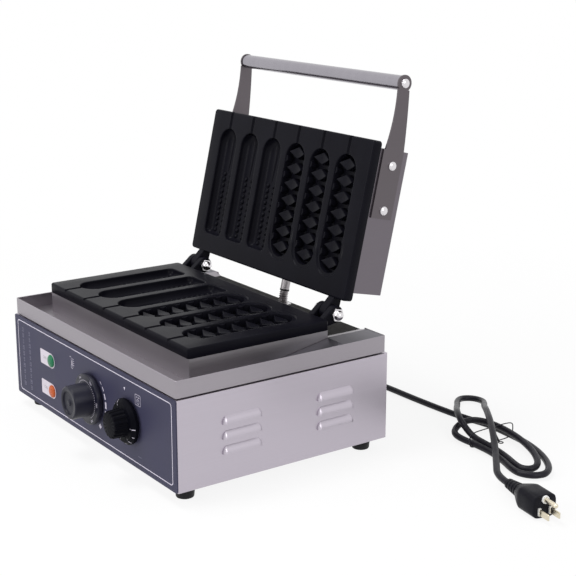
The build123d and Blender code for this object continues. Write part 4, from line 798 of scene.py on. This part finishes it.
face_insets, floor_halves = (-4.2, -3.2), (7, 5.4, 4, 2.8, 1.8, 0.9, 0)
notch_top, notch_start, notch_growth, notch_half, notch_depth = -4, 119, 33, 3.4, 2
ledge_end, ledge_run, ledge_depth = 76, 22, 1.3
far_steps, near_steps = 6, 8
corn_cells, diamond_cells = (0, 1, 2), (3, 4, 5)


def run(first, last, steps):
    """Evenly spaced values after the first, up to the last."""
    return np.linspace(first, last, steps + 1)[1:]


def whole(half):
    """Closed line from its half on the right, from the far middle to the near middle, mirrored in x."""
    return np.vstack([half, half[-2:0:-1] * (-1, 1)])


cell_side = np.concatenate([run(cell_far, round_far, 6), run(round_far, round_near, 14),
                            run(round_near, cell_near, 6)])
cell_half_line = np.vstack([
    np.column_stack([groove_x, 0 * groove_x + cell_far]),
    np.column_stack([run(groove_x[-1], cell_half, far_steps), np.full(far_steps, cell_far)]),
    np.column_stack([0 * cell_side + cell_half, cell_side]),
    np.column_stack([run(cell_half, 0, near_steps), np.full(near_steps, cell_near)]),
])
cell_line = whole(cell_half_line)
far_angles = np.concatenate([np.arcsin(groove_x / cavity_half),
                             run(math.asin(groove_x[-1] / cavity_half), math.radians(40), 6),
                             run(math.radians(40), math.pi / 2, 6)])


def cavity_line(inset, square):
    """Outline of a cavity drawn in by an inset: a half circle at the far end, straight sides, and a half
    circle or, where square, small rounded corners at the near end."""
    radius = cavity_half - inset
    far = np.column_stack([radius * np.sin(far_angles), round_far + radius * np.cos(far_angles)])
    sides = run(round_far, round_near, 14)
    straight = np.column_stack([0 * sides + radius, sides])
    if square:
        corner = max(corn_corner - inset, 0)
        bottom = cavity_near + inset
        turn = run(0, np.pi / 2, 6)
        bend = corner * np.column_stack([np.cos(turn) - 1, 1 - np.sin(turn)])
        near = np.vstack([
            np.column_stack([np.full(3, radius), run(round_near, bottom + corner, 3)]),
            bend + (radius, bottom),
            np.column_stack([run(radius - corner, 0, 5), np.full(5, bottom)]),
        ])
    else:
        turn = run(0, np.pi / 2, 14)
        near = np.column_stack([radius * np.cos(turn), round_near - radius * np.sin(turn)])
    return whole(np.vstack([far, straight, near]))


def groove_cut(x, shown):
    """Depth of the stick groove at x from its middle, a circle's arc, where shown is true."""
    return np.sqrt(np.clip(groove_radius ** 2 - x ** 2, 0, None)) * shown


def cell(column):
    """One cavity with the flat face round it: a profile of insets and depths runs from the face over a
    rounded edge, down a sloping wall and round a fillet to the floor. The stick groove is cut across it, a
    notch that widens runs along a corn cavity's floor, and a diamond cavity's face is eased down at its
    near end."""
    square = column in corn_cells
    cavity_depth, fillet = (corn_depth, corn_fillet) if square else (diamond_depth, diamond_fillet)
    turn = np.linspace(0, np.pi / 2, 5)
    edge = cavity_edge * np.column_stack([np.sin(turn) - 1, np.cos(turn) - 1])
    wall = (cavity_depth - fillet - cavity_edge) * wall_slope
    turn = run(0, np.pi / 2, 6)
    bend = fillet * np.column_stack([1 - np.cos(turn), 1 - np.sin(turn)]) + (wall, -cavity_depth)
    face = [(inset, 0) for inset in face_insets]
    floor = [(cavity_half - half, -cavity_depth) for half in floor_halves]
    rings = [np.column_stack([cell_line, 0 * cell_line[:, 0]])]
    for inset, height in [*face, *edge, (wall, fillet - cavity_depth), *bend, *floor]:
        line = cavity_line(inset, square)
        x, u = line.T
        w = np.full(len(x), float(height))
        if square and height < notch_top:
            reach = notch_half * np.clip((u - notch_start) / notch_growth, 0.01, 1)
            w -= notch_depth * np.clip(1 - np.abs(x) / reach, 0, 1) * (u > notch_start)
        if not square and inset > face_insets[0]:
            ledge = np.clip((ledge_end - u) / ledge_run, 0, 1)
            w = np.minimum(w, -ledge_depth * ledge ** 2 * (3 - 2 * ledge))
        rings.append(np.column_stack([line, np.minimum(w, -groove_cut(x, u > round_far))]))
    rings[0][:, 2] = -groove_cut(cell_line[:, 0], cell_line[:, 1] > groove_start)
    return np.stack(rings) + (cells_x[column], 0, 0)


corner_count = 7
far_half = cell_half_line[:len(groove_x) + far_steps, 0]
near_half = cell_half_line[-near_steps - 1:, 0]
far_x = np.concatenate([-far_half[::-1], far_half[1:]])
near_x = np.concatenate([near_half, -near_half[-2::-1]])
cells_x = (np.arange(6) - 2.5) * 2 * cell_half
far_row = np.concatenate([[-6 * cell_half], (cells_x[:, None] + far_x[1:]).ravel()])
near_row = np.concatenate([[6 * cell_half], (cells_x[::-1, None] + near_x[1:]).ravel()])
side_column = cell_side[:-1]


def frame_line(half_width, near, far, radius, stretch=1.0):
    """Outline of the plate or its block: straight sides with a point for each point of the cells' common
    outline, times a stretch, and quarter circles at the corners."""
    turn = np.linspace(np.pi / 2, 0, corner_count)
    corner = radius * np.column_stack([np.cos(turn), np.sin(turn)])
    inner = (half_width - radius, far - radius, near + radius)
    side = side_column
    if stretch != 1:
        side = np.interp(side_column, (cell_near, cell_far), (near + radius, far - radius))
    top = np.column_stack([far_row[1:-1] * stretch, np.full(len(far_row) - 2, far)])
    bottom = np.column_stack([near_row[1:-1] * stretch, np.full(len(near_row) - 2, near)])
    right = np.column_stack([0 * side + half_width, side])
    return np.vstack([top, corner + inner[:2], right, corner[::-1] * (1, -1) + (inner[0], inner[2]), bottom,
                      -corner + (-inner[0], inner[2]), right[::-1] * (-1, 1),
                      corner[::-1] * (-1, 1) + (-inner[0], inner[1])])


def plate_frame():
    """Rim, sides, back and heating block of a plate: rings of one outline that shrinks, grows and shrinks."""
    turn = np.linspace(0, np.pi / 2, 6)
    levels = [(plate_edge * (1 - math.sin(t)), plate_edge * (math.cos(t) - 1)) for t in turn]
    levels += [(0, 0.6 - plate_depth), (0.2, 0.2 - plate_depth), (0.6, -plate_depth)]
    inner = frame_line(6 * cell_half, cell_near, cell_far, 1e-6)
    rings = [np.column_stack([inner, 0 * inner[:, 0]])]
    for inset, height in levels:
        line = frame_line(plate_half - inset, plate_near + inset, plate_far - inset, plate_corner - inset)
        rings.append(np.column_stack([line, np.full(len(line), float(height))]))
    for inset, height in ((0, -plate_depth), (0, 0.5 - block_depth), (0.5, -block_depth)):
        line = frame_line(block_half - inset, block_near + inset, block_far - inset, block_corner - inset,
                          block_stretch)
        rings.append(np.column_stack([line, np.full(len(line), height)]))
    grooved_rings = 2 + len(turn)
    for ring in rings[:grooved_rings]:
        from_groove = np.abs(ring[:, :1] - cells_x).min(1)
        ring[:, 2] = np.minimum(ring[:, 2], -groove_cut(from_groove, ring[:, 1] > groove_start))
    rings.append(rings[-1] * (0, 0, 1) + (0, (block_near + block_far) / 2, 0))
    return np.stack(rings)


def dome(radius, height, sink, count=12):
    """Low dome on a short foot sunk in the floor, in a plate's own axes: a quarter ellipse turned round."""
    turn = np.linspace(0, np.pi / 2, 5)
    profile = np.vstack([[(0, -sink), (radius, -sink)],
                         np.column_stack([radius * np.cos(turn), height * np.sin(turn)])])
    around = np.linspace(0, 2 * np.pi, count, endpoint=False)
    return np.stack([profile[:, :1] * np.cos(around), profile[:, :1] * np.sin(around),
                     profile[:, 1:] + 0 * around], -1)


def standing(sizes, power, count):
    """Superellipses of (half width, half length, height), one over another."""
    return stacked([superellipse(half_x, half_u, power, count) for half_x, half_u, height in sizes],
                   [height for half_x, half_u, height in sizes])


foot_w, post_w, tooth_w = -0.4 - diamond_depth, -3.4, -1.3
post_half, post_hollow, post_near, post_pitch = 13.6, 2.2, 50.6, 18
post = standing([(*closing, foot_w), (14.2, 7.2, foot_w), (post_half, 6.7, post_w - 0.8),
                 (12.9, 6.2, post_w - 0.1), (11.6, 5.5, post_w), (8, 3.8, post_w), (4, 1.9, post_w),
                 (*closing, post_w)], 1.08, 40)
post[2:, :, 2] += post_hollow * (post[2:, :, 0] / post_half) ** 2
tooth_x = 17.7
tooth = standing([(*closing, foot_w), (3.4, 4.6, foot_w), (2.9, 4.1, tooth_w - 0.5), (2.5, 3.7, tooth_w),
                  (*closing, tooth_w)], 1.8, 24)
pip_x, pip_near, pip_pitch = 5.9, 45, 6.9
pip = dome(2.85, 2.3, 0.4)
lug_boss, lug_break, lug_top, lug_bottom = 9.2, 0.8, (16.8, -0.7), (19.3, -11.1)


def lug(x, width, axis_w):
    """Hinge lug: a round boss about the hinge axis joined to the plate's edge by two tangents, with its
    sharp edges broken."""
    top, bottom = np.array(lug_top) - (0, axis_w), np.array(lug_bottom) - (0, axis_w)
    first = math.atan2(top[1], top[0]) + math.acos(lug_boss / np.hypot(*top))
    last = math.atan2(bottom[1], bottom[0]) - math.acos(lug_boss / np.hypot(*bottom)) + 2 * math.pi
    turn = np.linspace(first, last, 33)
    line = np.vstack([bottom, top, lug_boss * np.column_stack([np.cos(turn), np.sin(turn)])])
    middle = 0 * line
    small = line * (1 - lug_break / lug_boss)
    rings = [middle, small, line, line, small, middle]
    end = width / 2
    spots = [-end, -end, lug_break - end, end - lug_break, end, end]
    return np.stack([np.column_stack([np.full(len(ring), x + spot), ring[:, 0], ring[:, 1] + axis_w])
                     for ring, spot in zip(rings, spots)])


for label, body, lug_places, lug_width, axis_w in (
        ("lower", "base", (-142.5, -122.5, 122.5, 142.5), 8, lower_axis),
        ("upper", "lid", (-132.5, 132.5), 11.2, upper_axis)):
    sheets = [plate_frame()] + [cell(column) for column in range(6)]
    sheets += [post + (cells_x[column], post_near + post_pitch * row, 0)
               for column in diamond_cells for row in range(7)]
    sheets += [tooth + (cells_x[column] + side, post_near + post_pitch * (row + 0.5), 0)
               for column in diamond_cells for side in (-tooth_x, tooth_x) for row in range(6)]
    sheets += [pip + (cells_x[column] + side, pip_near + pip_pitch * row, -corn_depth)
               for column in corn_cells for side in (-pip_x, pip_x) for row in range(11)]
    sheets += [lug(x, lug_width, axis_w) for x in lug_places]
    piece(label + "_mould", [placed(sheet, *plate_seats[label]) for sheet in sheets], coating, body,
          "mould_coating", label + "_mould_plate", sharp=28)


# Hinge bolts and nuts: a steel bolt through each pair of clevises, round-headed on the left and closed with a
# domed nut on the right.
chrome = plain("polished steel", (0.72, 0.7, 0.72), 0.1, 0.22, 240, Metallic=1.0)
dress(chrome, "hinge_bolts", "hinge_nuts")


# Lid housing: a folded box of brushed steel behind the upper mould, which covers its heating element; its
# dark tone is painted shade for the lid's dark reflections. The handle's arms are bolted to its sides.
housing_painted_shade = brushed("lid steel painted shade", (0.17, 0.152, 0.172), 0.3, 0.4)
dress(housing_painted_shade, "lid_housing")


# Handle: two arms of 2 mm steel that taper in a curve to the ends of a polished bar. Domed bolts hold the
# arms to the lid, and the bar between them.
# The arms' dark tone is painted shade: the case's steel made darker for the dark reflections on them.
arm_painted_shade = brushed("arm steel painted shade", (0.135, 0.12, 0.13), 0.3, 0.4)
dress(arm_painted_shade, "handle_arm_left", "handle_arm_right")
dress(screw_steel, "arm_nuts")
# The bar's mid-grey colour is painted reflection: polished steel darkened for the dark bands it reflects.
bar_steel = Finish("polished bar", Metallic=1.0)
bar_clouds = bar_steel.noise(1, 4, (120, 12, 12))
bar_steel.colour(bar_clouds, (0.34, 0.325, 0.36), (0.36, 0.345, 0.38))
bar_steel.roughness(bar_clouds, 0.2, 0.24)
bar_back, bar_up, bar_half, bar_radius, bar_bevel = 29, 253.4, 149, 8, 0.4
tapping_radius, tapping_depth = 3.1, 18
arm_thickness, arm_bolt_back, arm_bolt_ups, head_radius = 2, 33, (117, 165.5), 5.25
bar_half_profile = [(0, bar_half - tapping_depth), (tapping_radius, bar_half - tapping_depth),
                    (tapping_radius, bar_half), (bar_radius - bar_bevel, bar_half),
                    (bar_radius, bar_half - bar_bevel)]
bar_profile = bar_half_profile + [(radius, -reach) for radius, reach in bar_half_profile[::-1]]


def on_lid(back, up, x=0):
    """Place in metres from millimetres behind the hinge axis's plane, up the lid and across it."""
    return hinge + (back * lid_back + up * lid_up + (x, 0, 0)) / 1000


piece("grip_bar", [turned(bar_profile, on_lid(bar_back, bar_up), (1, 0, 0), lid_up, 64)], bar_steel, "lid",
      "bar_steel", "handle_bar")


def domed_bolt(side, back, up, radius, depth):
    """Bolt with a low domed head, a quarter ellipse turned round, on an arm's outside, and a plain shank."""
    turn = np.linspace(0, np.pi / 2, 9)
    dome = np.column_stack([head_radius * np.cos(turn), 0.5 + 2.9 * np.sin(turn)])
    profile = [(0, -depth), (radius, -depth), (radius, 0), (head_radius, 0), *dome]
    return turned(profile, on_lid(back, up, side * (bar_half + arm_thickness)), (side, 0, 0), lid_up, 40)


arm_bolts = [domed_bolt(side, arm_bolt_back, up, 2.5, 7.2) for side in (-1, 1) for up in arm_bolt_ups]
piece("arm_dome_bolts", arm_bolts, chrome, "lid", "polished_steel", "arm_bolts")
piece("bar_dome_bolts", [domed_bolt(side, bar_back, bar_up, 3, 20) for side in (-1, 1)], chrome, "lid",
      "polished_steel", "handle_end_bolts")


# Conduit: a ribbed steel hose carries the upper element's wires. It hangs from a smooth ferrule in the lid,
# under a dark ring, curves from the lid's lean to upright and drops through a fitting on the deck.
hose_steel = Finish("hose steel", Metallic=1.0)
hose_clouds = hose_steel.noise(90, 3)
hose_steel.colour(hose_clouds, (0.33, 0.31, 0.32), (0.38, 0.36, 0.37))
hose_steel.roughness(hose_clouds, 0.22, 0.36)
dress(hose_steel, "conduit_lid_fitting")
dress(screw_steel, "conduit_base_fitting")
dress(holder_black, "conduit_ring")
hose_x, hose_back, ferrule_length = 19, 22.4, 9
hose_top = on_lid(hose_back, 0, hose_x)
hose_bend, hose_length = 40, 73
hose_start = ferrule_length - hose_bend * math.tan(lean / 2)
hose_radius, hose_bore, rib_pitch, rib_depth, rib_square = 4.72, 3.5, 2.2, 0.42, 1.6
along = np.linspace(0, hose_length, int(hose_length / rib_pitch * 8) + 1)[:, None]
arc = np.clip((along - hose_start) / hose_bend, 0, lean)
slope = lean - arc
heading = np.concatenate([0 * slope, -np.sin(slope), -np.cos(slope)], 1)
bend_centre = hose_top * 1000 - hose_start * lid_up + hose_bend * lid_back
spine = bend_centre - hose_bend * np.concatenate([0 * slope, np.cos(slope), -np.sin(slope)], 1)
spine = spine + heading * (along - hose_start - arc * hose_bend)
outward = np.cross(heading, (1, 0, 0))
around = np.linspace(0, 2 * np.pi, 32, endpoint=False)
wave = np.clip(rib_square * np.cos(2 * np.pi * along / rib_pitch), -1, 1)


def hose_rings(radius):
    """Circles of a radius across the hose's line: one for each point of it."""
    circles = radius[..., None] * (np.cos(around)[:, None] * np.array([1.0, 0, 0])
                                   + np.sin(around)[:, None] * outward[:, None])
    return (spine[:, None] + circles) / 1000


outside = hose_rings(hose_radius + rib_depth * wave)
inside = hose_rings(hose_bore + 0 * wave)[::-1]
hose = piece("ribbed_hose", [np.concatenate([outside, inside, outside[:1]])], hose_steel, None, "hose_steel",
             "conduit_hose")
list(spine[-1, :2] / 1000)
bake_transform(hose)


# Gland: a tapered strain relief of the cord's own black rubber, grooved so that it bends, which is pressed
# through the rear wall.
dress(cord_black, "cord_gland")


# Studio: a white floor and surround that camera, mirror and glass rays see as plain white, with the machine's
# shadow kept on the floor near it, and soft lamps above, in front and at the right.
floor_reach, floor_drop = 40, 0.0005
floor_signs = ((-1, -1), (1, -1), (1, 1), (-1, 1))
floor_mesh = bpy.data.meshes.new("studio_floor")
floor_mesh.from_pydata([(x * floor_reach, y * floor_reach, -floor_drop) for x, y in floor_signs], [],
                       [(0, 1, 2, 3)])
studio_floor = bpy.data.objects.new("studio_floor", floor_mesh)
bpy.context.scene.collection.objects.link(studio_floor)
paper = Finish("studio paper", Base_Color=(0.9, 0.9, 0.9), Roughness=0.9, Specular_IOR_Level=0.1)
floor_mesh.materials.append(paper.material)


def seen(tree):
    """1 for camera, mirror and glass rays, which see the studio as white: the largest of the three."""
    rays = tree.nodes.new("ShaderNodeLightPath")
    total = rays.outputs["Is Camera Ray"]
    for name in ("Is Glossy Ray", "Is Transmission Ray"):
        most = tree.nodes.new("ShaderNodeMath")
        most.operation = "MAXIMUM"
        tree.links.new(total, most.inputs[0])
        tree.links.new(rays.outputs[name], most.inputs[1])
        total = most.outputs[0]
    return total


def whiten(tree, plain, output, share):
    """Mixes a white glow of strength 1 over a plain shader, for the rays that see the studio as white."""
    glow = tree.nodes.new("ShaderNodeEmission" if output.bl_idname == "ShaderNodeOutputMaterial"
                          else "ShaderNodeBackground")
    glow.inputs["Color"].default_value = (1, 1, 1, 1)
    glow.inputs["Strength"].default_value = 1
    amount = tree.nodes.new("ShaderNodeMath")
    amount.operation = "MULTIPLY"
    if isinstance(share, Value):
        tree.links.new(share.socket, amount.inputs[1])
    else:
        amount.inputs[1].default_value = share
    tree.links.new(seen(tree), amount.inputs[0])
    mixed = tree.nodes.new("ShaderNodeMixShader")
    tree.links.new(amount.outputs[0], mixed.inputs[0])
    tree.links.new(plain, mixed.inputs[1])
    tree.links.new(glow.outputs[0], mixed.inputs[2])
    tree.links.new(mixed.outputs[0], output.inputs[0])


shadow_near, shadow_far, shadow_glow, backdrop_strength = 0.3, 1.1, 0.86, 0.55
distance = paper.node("ShaderNodeVectorMath", {"operation": "LENGTH"}, {0: paper.place}, 1)
fade = paper.node("ShaderNodeMapRange", {"interpolation_type": "SMOOTHSTEP"},
                  {"Value": distance, "From Min": shadow_near, "From Max": shadow_far,
                   "To Min": shadow_glow, "To Max": 1})
whiten(paper.tree, paper.shader.outputs[0], paper.tree.nodes["Material Output"], fade)
world = bpy.data.worlds.new("studio")
bpy.context.scene.world = world
world.use_nodes = True
backdrop = world.node_tree.nodes["Background"]
backdrop.inputs["Color"].default_value = (1, 1, 1, 1)
backdrop.inputs["Strength"].default_value = backdrop_strength
whiten(world.node_tree, backdrop.outputs[0], world.node_tree.nodes["World Output"], 1)


def lamp(name, place, target, size, power):
    """Soft square lamp aimed at a point."""
    light = bpy.data.lights.new(name, "AREA")
    light.shape, light.size, light.energy = "SQUARE", size, power
    made = bpy.data.objects.new(name, light)
    bpy.context.scene.collection.objects.link(made)
    facing = Vector(target) - Vector(place)
    made.matrix_world = Matrix.Translation(place) @ facing.to_track_quat("-Z", "Y").to_matrix().to_4x4()


lamp("top_lamp", (-0.3, -0.5, 2.2), (0, 0, 0.1), 0.8, 22)
lamp("front_lamp", (-0.6, -2.0, 1.1), (0, 0, 0.15), 0.9, 16)
lamp("side_lamp", (2.3, -0.2, 1.2), (0, 0, 0.15), 1.2, 14)
